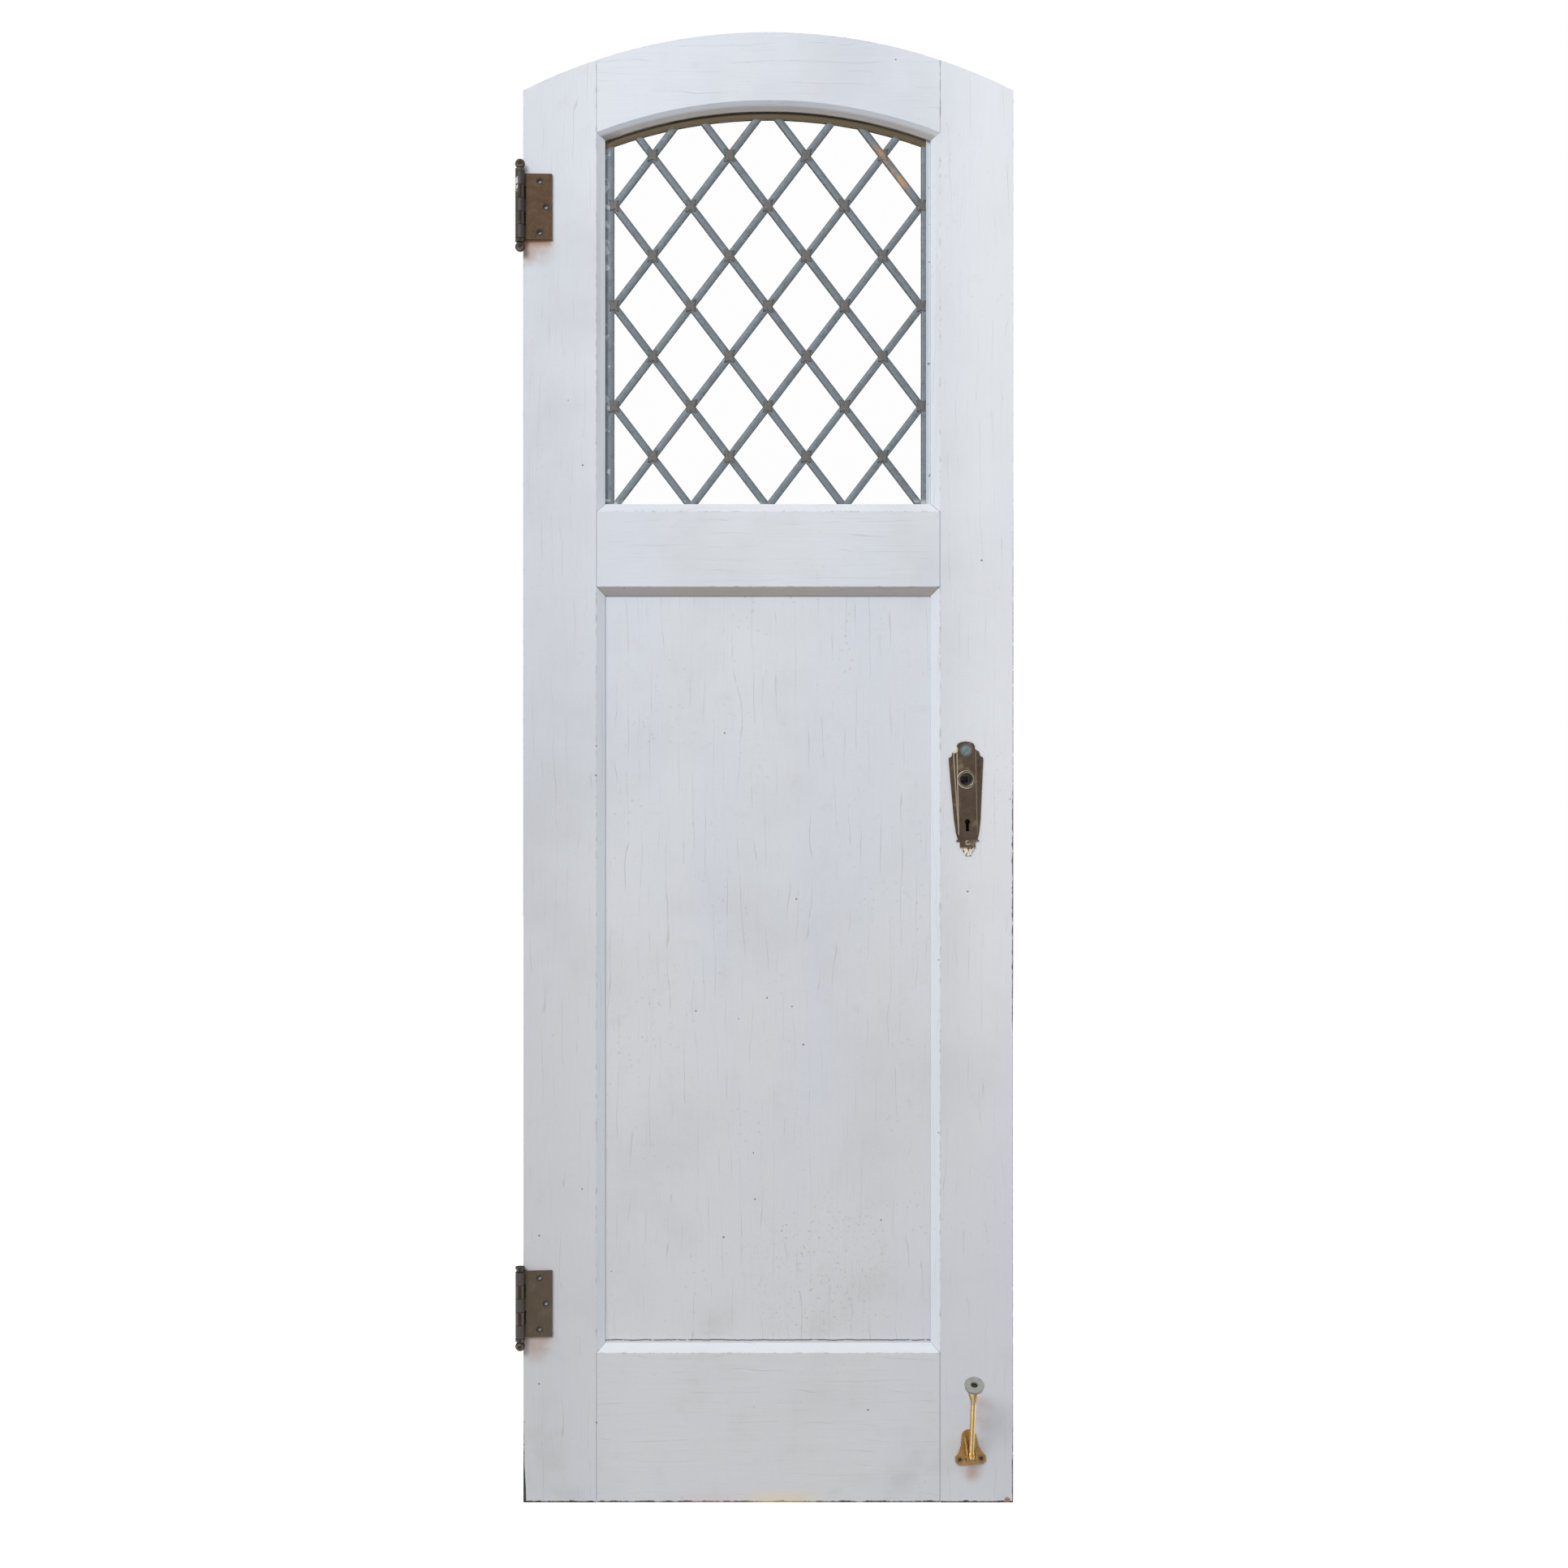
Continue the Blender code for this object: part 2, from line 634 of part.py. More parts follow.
def button_profile(foot):
    """Profile of the worn flat button that is left where a ball is lost."""
    top = foot + BUTTON_HEIGHT
    under = top - BUTTON_EASE - BUTTON_RIM
    return [(0.0, top), (BUTTON_RADIUS - BUTTON_EASE, top), (BUTTON_RADIUS, top - BUTTON_EASE),
            (BUTTON_RADIUS, under), (BUTTON_NECK_RADIUS, under), (BUTTON_NECK_RADIUS, foot)]


def build_pin(shop, name, axis, head, material):
    """A hinge pin with its head above the barrel and its ball tip below."""
    foot = HINGE_HEIGHT / 2 + GAP
    tail = [(radius, -height) for radius, height in ball_profile(foot)][::-1]
    profile = head(foot) + [(PIN_RADIUS, foot), (PIN_RADIUS, -foot)] + tail
    shop.add_part(turned(name, profile, PIN_SIDES), material, axis)


def build_hinge(shop, name, height, head, stile, leaf_material, barrel_material):
    """A butt hinge: door leaf in the stile's edge, jamb leaf swung over the door's face."""
    axis = shop.add_axis(name + "_axis", (AXIS_X, -AXIS_PROUD, height))
    jamb_own = [i for i in range(KNUCKLES) if i % 2 == 0]
    door_own = [i for i in range(KNUCKLES) if i % 2]
    build_leaf(shop, name + "_door_leaf", door_own, 1, axis, 0, barrel_material)
    build_leaf(shop, name + "_jamb_leaf", jamb_own, -1, axis, -pi / 2 + JAMB_LEAF_SLOPE,
               leaf_material)
    build_pin(shop, name + "_pin", axis, head, barrel_material)
    low = (-HALF_WIDTH - OVERSHOOT, -OVERSHOOT, height - HINGE_HEIGHT / 2 - GAP)
    high = (-HALF_WIDTH + LEAF_THICKNESS + GAP, HINGE_REACH - AXIS_PROUD + GAP,
            height + HINGE_HEIGHT / 2 + GAP)
    boolean(stile, shop.add_cutter(box(name + "_gain", low, high)))


def plate_corners(shares):
    """Corners given as shares of the plate's half width and of its length to that side."""
    below = PLATE_LENGTH - PLATE_ABOVE_KNOB
    return [(across * PLATE_WIDTH / 2, up * (PLATE_ABOVE_KNOB if up > 0 else below))
            for across, up in shares]


def plate_half_outline():
    """Right half of the lock plate, as (distance from its middle, height), knob at zero."""
    crown = [(0.52 * sin(turn), 0.88 + 0.12 * cos(turn)) for turn in (0, pi / 6, pi / 3, pi / 2)]
    shoulders = [(0.52, 0.81), (0.58, 0.77), (0.73, 0.74), (0.79, 0.70), (0.81, 0.63),
                 (0.86, 0.60), (0.97, 0.58), (1.0, 0.55)]
    taper = [(0.93, 0.0), (0.85, -0.25), (0.77, -0.52), (0.67, -0.70), (0.57, -0.785)]
    finial = [(0.66, -0.80), (0.66, -0.812), (0.45, -0.817), (0.45, -0.892), (0.37, -0.915),
              (0.28, -0.945), (0.19, -0.968), (0.19, -1.0)]
    return plate_corners(crown + shoulders + taper + finial)


def plate_rib_outline():
    """Right half of the plate's raised middle, which runs down between two ridges."""
    return plate_corners([(0.0, 0.89), (0.45, 0.85), (0.57, 0.78), (0.58, 0.0), (0.56, -0.49),
                          (0.53, -0.775), (0.0, -0.775)])


def whole_outline(half, x, z):
    """Both halves of a symmetric outline round a point."""
    other = [(-across, up) for across, up in half[::-1] if across > 0]
    return [(x + across, z + up) for across, up in half + other]


def keyhole_outline(x, z):
    """A round hole with a slot below it."""
    half = KEYHOLE_SLOT / 2
    start = -pi / 2 + asin(half / KEYHOLE_RADIUS)
    sweep = 2 * pi - 2 * asin(half / KEYHOLE_RADIUS)
    turns = [start + sweep * i / 14 for i in range(15)]
    ring = [(x + KEYHOLE_RADIUS * cos(turn), z + KEYHOLE_RADIUS * sin(turn)) for turn in turns]
    return ring + [(x - half, z - KEYHOLE_DROP), (x + half, z - KEYHOLE_DROP)]


def build_lock_plate(shop, name, behind):
    """A stepped lock plate with knob collar, knob hole and keyhole."""
    knob, keyhole = (0, 0), (0, -KNOB_TO_KEYHOLE)
    lies_on, proud = 0.0, -PLATE_THICKNESS
    holes = [circle_points(*knob, KNOB_HOLE_RADIUS), keyhole_outline(*keyhole)]
    plate = prism(name, [whole_outline(plate_half_outline(), *knob)] + holes, proud, lies_on)
    rib = prism(name + "_rib", [whole_outline(plate_rib_outline(), *knob)] + holes,
                proud - PLATE_RIDGE, proud + PLATE_THICKNESS / 2)
    collar = prism(name + "_collar", [circle_points(*knob, KNOB_COLLAR_RADIUS), holes[0]],
                   proud - COLLAR_PROUD, proud + PLATE_THICKNESS / 2)
    y = DOOR_THICKNESS + GAP if behind else -GAP
    plate.location = (LOCK_X, y, KNOB_Z)
    plate.rotation_euler = (0, PLATE_TILT if behind else -PLATE_TILT, pi if behind else 0)
    shop.add_part(plate, shop.bronze)
    boolean(plate, shop.add_cutter(rib, plate), 'UNION')
    boolean(plate, shop.add_cutter(collar, plate), 'UNION')


def build_lock(shop, stile):
    """The mortise lock in the stile's edge and its bolt, with the ways through the stile."""
    bolt_z = KNOB_Z - BOLT_BELOW_KNOB
    case_z = (KNOB_Z + KEYHOLE_Z) / 2
    case_half = Vector((0, CASE_THICKNESS / 2, CASE_HEIGHT / 2))
    case_in = Vector((HALF_WIDTH - CASE_DEPTH, DOOR_MIDDLE_Y, case_z))
    case_out = Vector((HALF_WIDTH - FACEPLATE_THICKNESS / 2, DOOR_MIDDLE_Y, case_z))
    lock = box("mortise_lock", case_in - case_half, case_out + case_half)
    face_half = Vector((0, FACEPLATE_WIDTH / 2, FACEPLATE_HEIGHT / 2))
    face_in = Vector((HALF_WIDTH - FACEPLATE_THICKNESS, DOOR_MIDDLE_Y, case_z))
    face_out = Vector((HALF_WIDTH, DOOR_MIDDLE_Y, case_z))
    shop.add_part(lock, shop.iron)
    faceplate = box("lock_faceplate", face_in - face_half, face_out + face_half)
    boolean(lock, shop.add_cutter(faceplate), 'UNION')

    room = Vector((GAP, GAP, GAP))
    boolean(stile, shop.add_cutter(box(
        "lock_mortise", case_in - case_half - room, case_out + case_half + room)))
    boolean(stile, shop.add_cutter(box(
        "faceplate_gain", face_in - face_half - room, face_out + face_half + room * 10)))

    bolt_half = Vector((0, BOLT_THICKNESS / 2, BOLT_HEIGHT / 2))
    bolt_in = Vector((HALF_WIDTH + BOLT_PROUD - BOLT_LENGTH, DOOR_MIDDLE_Y, bolt_z))
    bolt_out = Vector((HALF_WIDTH + BOLT_PROUD, DOOR_MIDDLE_Y, bolt_z))
    shop.add_part(box("latch_bolt", bolt_in - bolt_half, bolt_out + bolt_half), shop.iron)
    slot_low = bolt_in - bolt_half - room - Vector((BOLT_PROUD, 0, 0))
    boolean(lock, shop.add_cutter(box("bolt_slot", slot_low, bolt_out + bolt_half + room)))

    through = DOOR_THICKNESS + 2 * OVERSHOOT
    half_square = SPINDLE_SQUARE / 2
    boolean(lock, shop.add_cutter(box(
        "spindle_hole", (LOCK_X - half_square, 0, KNOB_Z - half_square),
        (LOCK_X + half_square, DOOR_THICKNESS, KNOB_Z + half_square))))
    keyhole_x = LOCK_X + KNOB_TO_KEYHOLE * sin(PLATE_TILT)
    keyhole = prism("keyhole_way", [keyhole_outline(keyhole_x, KEYHOLE_Z)],
                    -OVERSHOOT, DOOR_THICKNESS + OVERSHOOT)
    knob_way = rod("knob_way", (LOCK_X, DOOR_MIDDLE_Y, KNOB_Z), (0, 1, 0), through,
                   KNOB_HOLE_RADIUS)
    boolean(lock, shop.add_cutter(keyhole))
    boolean(stile, keyhole)
    boolean(stile, shop.add_cutter(knob_way))


def build_holder(shop):
    """The kick-down door holder: bracket, arm on its rivet and rubber tip."""
    middle = Vector((HOLDER_X, -HOLDER_PIVOT_PROUD, HOLDER_PIVOT_Z))
    base = -HOLDER_FOOT_DROP
    foot, top = HOLDER_FOOT_WIDTH / 2, HOLDER_TOP_WIDTH / 2
    shoulder = base + HOLDER_HEIGHT - top
    ear_top = base + HOLDER_FOOT_HEIGHT
    side = [(foot - HOLDER_CORNER, base), (foot, base + HOLDER_CORNER),
            (foot, ear_top - HOLDER_CORNER), (foot - HOLDER_CORNER, ear_top),
            (top + HOLDER_WAIST, (ear_top + shoulder) / 2)]
    crown = [(top * cos(turn), shoulder + top * sin(turn))
             for turn in [pi * i / 10 for i in range(11)]]
    hole_z = base + HOLDER_FOOT_HEIGHT / 2
    holes = [circle_points(step * HOLDER_HOLE_SPACING / 2, hole_z, HOLDER_HOLE_RADIUS, 12)
             for step in (-1, 1)]
    back = HOLDER_PIVOT_PROUD - GAP
    plate_front = back - HOLDER_PLATE
    outline = side + crown + mirrored(side)[::-1]
    bracket = prism("door_holder_bracket", [outline] + holes, plate_front, back)
    bracket.location = middle
    bracket.rotation_euler = (0, -HOLDER_TILT, 0)
    shop.add_part(bracket, shop.brass)

    sunk = back - HOLDER_PLATE / 2
    nose = [(-LUG_NOSE * sin(turn), LUG_NOSE * cos(turn)) for turn in
            (pi / 4, pi / 2, 3 * pi / 4, pi)]
    lug_outline = ([(sunk, shoulder + top / 2), (plate_front / 2, shoulder)] + nose
                   + [(sunk, base + HOLDER_CORNER)])
    for hand, word in ((-1, "left"), (1, "right")):
        lug = prism(f"door_holder_{word}_lug", [lug_outline], -LUG_THICKNESS / 2,
                    LUG_THICKNESS / 2)
        lug.data.transform(Matrix.Rotation(pi / 2, 4, 'Z'))
        lug.location = (hand * (LUG_INSIDE + LUG_THICKNESS / 2), 0, 0)
        boolean(bracket, shop.add_cutter(lug, bracket), 'UNION')
    rivet_length = 2 * (LUG_INSIDE + LUG_THICKNESS + RIVET_HEAD)
    rivet = rod("door_holder_rivet", (0, 0, 0), (1, 0, 0), rivet_length, RIVET_RADIUS, sides=16)
    boolean(bracket, shop.add_cutter(rivet, bracket), 'UNION')

    axis = shop.add_axis("door_holder_axis", middle)
    axis.rotation_euler = (ARM_LEAN, -HOLDER_TILT, 0)
    cup_foot = ARM_LENGTH - ARM_CUP_LENGTH
    flare = ARM_CUP_RADIUS - ARM_RADIUS
    swell = [(ARM_RADIUS + flare * share ** 2 * (3 - 2 * share),
              cup_foot + share * (ARM_CUP_LENGTH - ARM_RIM))
             for share in (1.0, 0.75, 0.5, 0.25, 0.0)]
    profile = [(0, ARM_LENGTH), (ARM_CUP_RADIUS, ARM_LENGTH)] + swell + [
        (ARM_RADIUS, ARM_START), (0, ARM_START)]
    arm = shop.add_part(turned("door_holder_arm", profile, 20), shop.brass, axis)
    boss = rod("door_holder_boss", (0, 0, 0), (1, 0, 0), 2 * (LUG_INSIDE - ARM_SIDE_PLAY),
               ARM_BOSS_RADIUS, sides=20)
    boolean(arm, shop.add_cutter(boss, axis), 'UNION')
    bore = rod("door_holder_bore", (0, 0, 0), (1, 0, 0), 4 * LUG_INSIDE, RIVET_RADIUS + GAP,
               sides=16)
    boolean(arm, shop.add_cutter(bore, axis))

    seat = ARM_LENGTH + GAP
    end = seat + TIP_THICKNESS
    tip_profile = [(0, end - TIP_HOLE_DEPTH), (TIP_HOLE_RADIUS, end - TIP_HOLE_DEPTH),
                   (TIP_HOLE_RADIUS, end), (TIP_RADIUS - TIP_EASE, end),
                   (TIP_RADIUS, end - TIP_EASE), (TIP_RADIUS - TIP_TAPER, seat), (0, seat)]
    shop.add_part(turned("door_holder_tip", tip_profile, 28), shop.rubber, axis)


def build_door():
    """Every piece of the door."""
    clear_scene()
    shop = Workshop()
    light, panel = opening_cutters(shop)
    boards = build_frame(shop, light, panel)
    build_panel(shop)
    build_light(shop)
    build_bead(shop)
    build_hinge(shop, "upper_hinge", UPPER_HINGE_Z, ball_profile, boards["hinge_stile"],
                shop.brown_brass, shop.iron)
    build_hinge(shop, "lower_hinge", LOWER_HINGE_Z, button_profile, boards["hinge_stile"],
                shop.brown_brass, shop.iron)
    build_lock_plate(shop, "front_lock_plate", False)
    build_lock_plate(shop, "back_lock_plate", True)
    build_lock(shop, boards["lock_stile"])
    build_holder(shop)


build_door()
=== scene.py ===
"""Leaded-glass front door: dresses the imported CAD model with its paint, lead, glass and metal."""

from math import asin, atan2, cos, exp, hypot, pi, radians, sin, sqrt, tan

import bmesh
import bpy
from bpy.props import FloatProperty, FloatVectorProperty, PointerProperty
from bpy.types import Operator, Panel, PropertyGroup
from mathutils import Matrix, Vector, noise
from mathutils.geometry import intersect_line_line_2d


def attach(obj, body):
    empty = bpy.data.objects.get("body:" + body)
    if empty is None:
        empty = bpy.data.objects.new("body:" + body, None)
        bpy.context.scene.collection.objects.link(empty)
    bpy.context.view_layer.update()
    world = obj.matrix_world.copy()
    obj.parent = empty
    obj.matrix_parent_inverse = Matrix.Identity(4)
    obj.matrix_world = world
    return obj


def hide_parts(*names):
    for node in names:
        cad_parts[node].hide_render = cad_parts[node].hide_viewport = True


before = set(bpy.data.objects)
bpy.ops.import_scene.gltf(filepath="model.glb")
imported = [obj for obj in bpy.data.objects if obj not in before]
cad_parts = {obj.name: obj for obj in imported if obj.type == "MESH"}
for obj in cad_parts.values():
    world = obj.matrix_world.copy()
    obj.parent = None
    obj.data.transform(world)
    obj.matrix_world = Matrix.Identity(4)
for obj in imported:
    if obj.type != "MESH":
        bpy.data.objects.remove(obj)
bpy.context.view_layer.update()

bl_info = {
    "name": "Leaded-glass front door",
    "version": (1, 0, 0),
    "blender": (4, 5, 0),
    "location": "View3D > Sidebar > Front Door",
    "description": "Finishes the packed front door for rendering",
    "category": "Object",
}

# The frame's origin is on the hinge pins' axis, at the middle of the lower hinge.
HINGE_HEIGHTS = {"upper_hinge": 1.745, "lower_hinge": 0.269}
PIN_REACH = 0.33355
PIN_PROUD = 0.0092

# Where the door's own origin, the middle of its foot on its front face, lies in the frame.
ORIGIN = Vector((PIN_REACH, PIN_PROUD, -HINGE_HEIGHTS["lower_hinge"]))

DOOR_HEIGHT = 1.9812
HALF_WIDTH = 0.3302
DOOR_THICKNESS = 0.04445
ARCH_RADIUS = 0.7329
ARCH_CENTRE_Z = 1.2483
OPENING_HALF = 0.2317
SPLAY_WIDTH = 0.0115
BOTTOM_RAIL_FACE = 0.2015
MIDDLE_RAIL_BOTTOM = 1.2343
LIGHT_FLOOR = 1.3355

# A height above all, for the opening of the light, whose head is the arch.
NO_HEAD = 9.0

CAME_FRONT = 0.0148
CAME_BACK = 0.0208
BORDER_HALF = 0.2080
BORDER_RADIUS = 0.6207
BORDER_FLOOR = 1.3455
LATTICE_FLOOR = 1.3438
DIAMOND_HALF_WIDTH = BORDER_HALF / 4
HALF_DIAMONDS_UP = 7.72
DIAMOND_HALF_HEIGHT = (ARCH_CENTRE_Z + BORDER_RADIUS - LATTICE_FLOOR) / HALF_DIAMONDS_UP
LATTICE_SLOPE = DIAMOND_HALF_HEIGHT / DIAMOND_HALF_WIDTH
SIDE_COLUMN = 4
TOP_ROW = 7
PANE_THICKNESS = 0.003
CAME_STEP = 0.016
CAME_WOBBLE = 0.00025

LOCK_X = 0.2667
KNOB_Z = 0.9745
KNOB_HOLE_RADIUS = 0.0088
KNOB_COLLAR_RADIUS = 0.01195
PLATE_TILT = radians(1.2)
PLATE_FACE = 0.0019
RIB_FACE = 0.0028
COLLAR_FACE = 0.0035
KEYHOLE_SHIFT = 0.0012
KEYHOLE_DROP = 0.0615
UPPER_PLATE_SCREW = (0.2660, 1.0139)
LOCK_CASE_Z = 0.9459
FACEPLATE_SCREW_REACH = 0.078

# The screws of a lock plate: how far above the knob, the face they sit on and their turn.
PLATE_SCREWS = ((0.0394, RIB_FACE, 0.5), (-0.0852, PLATE_FACE, 1.9))

HINGE_FACE_X = PIN_REACH - HALF_WIDTH
HINGE_HALF = 0.04445
BARREL_RADIUS = 0.00635

# The screws of a hinge leaf: which step up or down, and how far from the pin's axis.
LEAF_SCREW_STEP = 0.03445
LEAF_SCREWS = ((-1, 0.026), (0, 0.0345), (1, 0.026))

HOLDER_PIVOT = Vector((0.2717, -0.014, 0.0675))
HOLDER_TILT = radians(4)
HOLDER_LEAN = radians(33.5)
BRACKET_SCREW = (0.0146, 0.0110, -0.0080)
ARM_EYE_END = 0.012
ARM_RADIUS = 0.0037
ARM_LENGTH = 0.140
ARM_CUP_RADIUS = 0.0086
ARM_CUP_LENGTH = 0.034
TIP_RADIUS = 0.013
TIP_THICKNESS = 0.0055
TIP_HOLE_RADIUS = 0.0045
TIP_HOLE_DEPTH = 0.0035

SCREW_HEAD_DEPTH = 0.0009
SCREW_SLOT_DEPTH = 0.0007

# Painted warm shadows on the paint below the hinge leaves and beside the door holder: x, z, radius
# and how strong.
PAINTED_WARM_SHADOWS = ((-0.312, 1.690, 0.034, 0.6), (-0.326, 1.682, 0.022, 0.6),
                (-0.312, 0.213, 0.036, 0.7), (-0.300, 0.222, 0.020, 0.5),
                (0.2875, 0.128, 0.024, 0.5), (0.2890, 0.108, 0.020, 0.35),
                (0.2738, 0.0415, 0.020, 0.8))

# The strong painted warm shadow right under each jamb leaf: where the leaf ends and how strong.
PAINTED_LEAF_SHADOWS = ((1.7006, 0.85), (0.2246, 0.35))

# Dark knocks on the panel: x, z and radius.
PANEL_KNOCKS = ((0.0326, 0.6672, 0.0011), (0.0479, 0.6157, 0.0013),
                (-0.0196, 0.4689, 0.0010), (-0.0174, 0.4064, 0.0012),
                (-0.0598, 0.3549, 0.0014), (-0.0370, 0.1052, 0.001))

PAINTED = {"hinge_stile": 'UPRIGHT', "lock_stile": 'UPRIGHT', "top_rail": 'LEVEL',
           "middle_rail": 'LEVEL', "bottom_rail": 'LEVEL', "panel": 'UPRIGHT',
           "glazing_bead": 'UPRIGHT'}

# The floor lies below the door's foot, clear of the door holder's arm at its lowest.
FLOOR_DROP = 0.1
LIGHT_TARGET = (0.33, 0.0, 0.7)
LIGHT_SIZE = 3.0
CAMERA_ACROSS = 0.228
CAMERA_UP = 0.679


def screen(red, green, blue):
    """Linear colour of a screen colour that is given as 0 to 255."""
    shares = [value / 255 for value in (red, green, blue)]
    return tuple(c / 12.92 if c <= 0.04045 else ((c + 0.055) / 1.055) ** 2.4 for c in shares)


def colour_setting(name, description, default):
    """A colour that a user can change."""
    return FloatVectorProperty(
        name=name, description=description, default=default, subtype='COLOR', size=3,
        min=0.0, max=1.0)


def length_setting(name, description, default):
    """A length in metres that a user can change."""
    return FloatProperty(
        name=name, description=description, default=default, unit='LENGTH', min=0.0,
        precision=5)


class PaintSettings(PropertyGroup):
    """The old white paint."""

    high: colour_setting("High paint", "Paint near the top of the door", screen(226, 231, 238))
    low: colour_setting("Low paint", "Paint near the foot of the door", screen(208, 209, 212))
    # The stain colour is dirt, and also the painted shade on the splays that face down.
    stain_and_shade: colour_setting("Stain", "Dirt that has settled on the paint", screen(150, 134, 112))
    crack: colour_setting("Crack", "Depth of cracks and open joints", screen(78, 68, 58))
    wood: colour_setting("Bare wood", "Wood where the paint is chipped", screen(96, 76, 58))
    round_edge: length_setting("Edge rounding", "How far paint rounds the edges", 0.0008)
    brush_relief: length_setting("Brush relief", "Depth of the brush strokes", 0.00012)


class LightSettings(PropertyGroup):
    """The leaded light."""

    lead: colour_setting("Lead", "Weathered lead", screen(108, 118, 125))
    # The cement colour is also the painted shade on the steep sides of the came and the solder.
    lead_edge_cement_and_shade: colour_setting("Cement line", "Dirt along the came's edges", screen(62, 58, 50))
    solder: colour_setting("Solder", "Solder at the crossings", screen(98, 95, 93))
    came_half: length_setting("Came half width", "Half the width of a came's face", 0.0047)
    crown: length_setting("Came crown", "How far a came's face stands proud", 0.0014)
    solder_radius: length_setting("Solder radius", "Size of a soldered joint", 0.0060)


class MetalSettings(PropertyGroup):
    """The ironmongery."""

    bronze: colour_setting("Bronze", "Lock plates", screen(80, 67, 56))
    # The worn bronze is also the painted highlight on the plates' edges.
    bronze_worn_and_highlight: colour_setting("Worn bronze", "Rubbed high places", screen(168, 150, 124))
    leaf: colour_setting("Brown brass", "Hinge leaves", screen(84, 66, 50))
    barrel: colour_setting("Dark bronze", "Hinge barrels", screen(50, 45, 42))
    iron: colour_setting("Iron", "Lock case and bolt", screen(84, 80, 76))
    brass: colour_setting("Polished brass", "Door holder", screen(186, 144, 68))
    rubber: colour_setting("Rubber", "Door holder's tip", screen(150, 150, 145))


class StageSettings(PropertyGroup):
    """Camera, light and floor."""

    distance: length_setting("Camera distance", "From the door's face to the camera", 2.5)
    lens: FloatProperty(name="Lens", description="Focal length on 36 mm film",
                        default=42.6, min=10.0, unit='CAMERA')
    key: FloatProperty(name="Key light", description="Power of the upper left light",
                       default=455.0, min=0.0, unit='POWER')
    room: FloatProperty(name="Room light", description="Strength of the light from all round",
                        default=0.50, min=0.0)
    floor: colour_setting("Floor", "The floor's colour", (0.92, 0.92, 0.92))


# Materials

class Wire:
    """A shader socket that can stand in a sum. Each sum adds its Math node."""

    def __init__(self, finish, socket):
        self.finish = finish
        self.socket = socket

    def work(self, operation, *values):
        """The result of a Math node."""
        return self.finish.node(
            'ShaderNodeMath', {'operation': operation}, dict(enumerate(values)))

    def __add__(self, other):
        return self.work('ADD', self, other)

    def __radd__(self, other):
        return self.work('ADD', other, self)

    def __sub__(self, other):
        return self.work('SUBTRACT', self, other)

    def __rsub__(self, other):
        return self.work('SUBTRACT', other, self)

    def __mul__(self, other):
        return self.work('MULTIPLY', self, other)

    def __truediv__(self, other):
        return self.work('DIVIDE', self, other)

    def __pow__(self, other):
        return self.work('POWER', self, other)

    def __abs__(self):
        return self.work('ABSOLUTE', self)

    def least(self, other):
        """The smaller of two values."""
        return self.work('MINIMUM', self, other)

    def most(self, other):
        """The larger of two values."""
        return self.work('MAXIMUM', self, other)

    def step(self, low, high):
        """A smooth rise from 0 at low to 1 at high, or a fall where low is the larger."""
        return self.finish.node(
            'ShaderNodeMapRange', {'interpolation_type': 'SMOOTHSTEP'},
            {'Value': self, 'From Min': low, 'From Max': high})


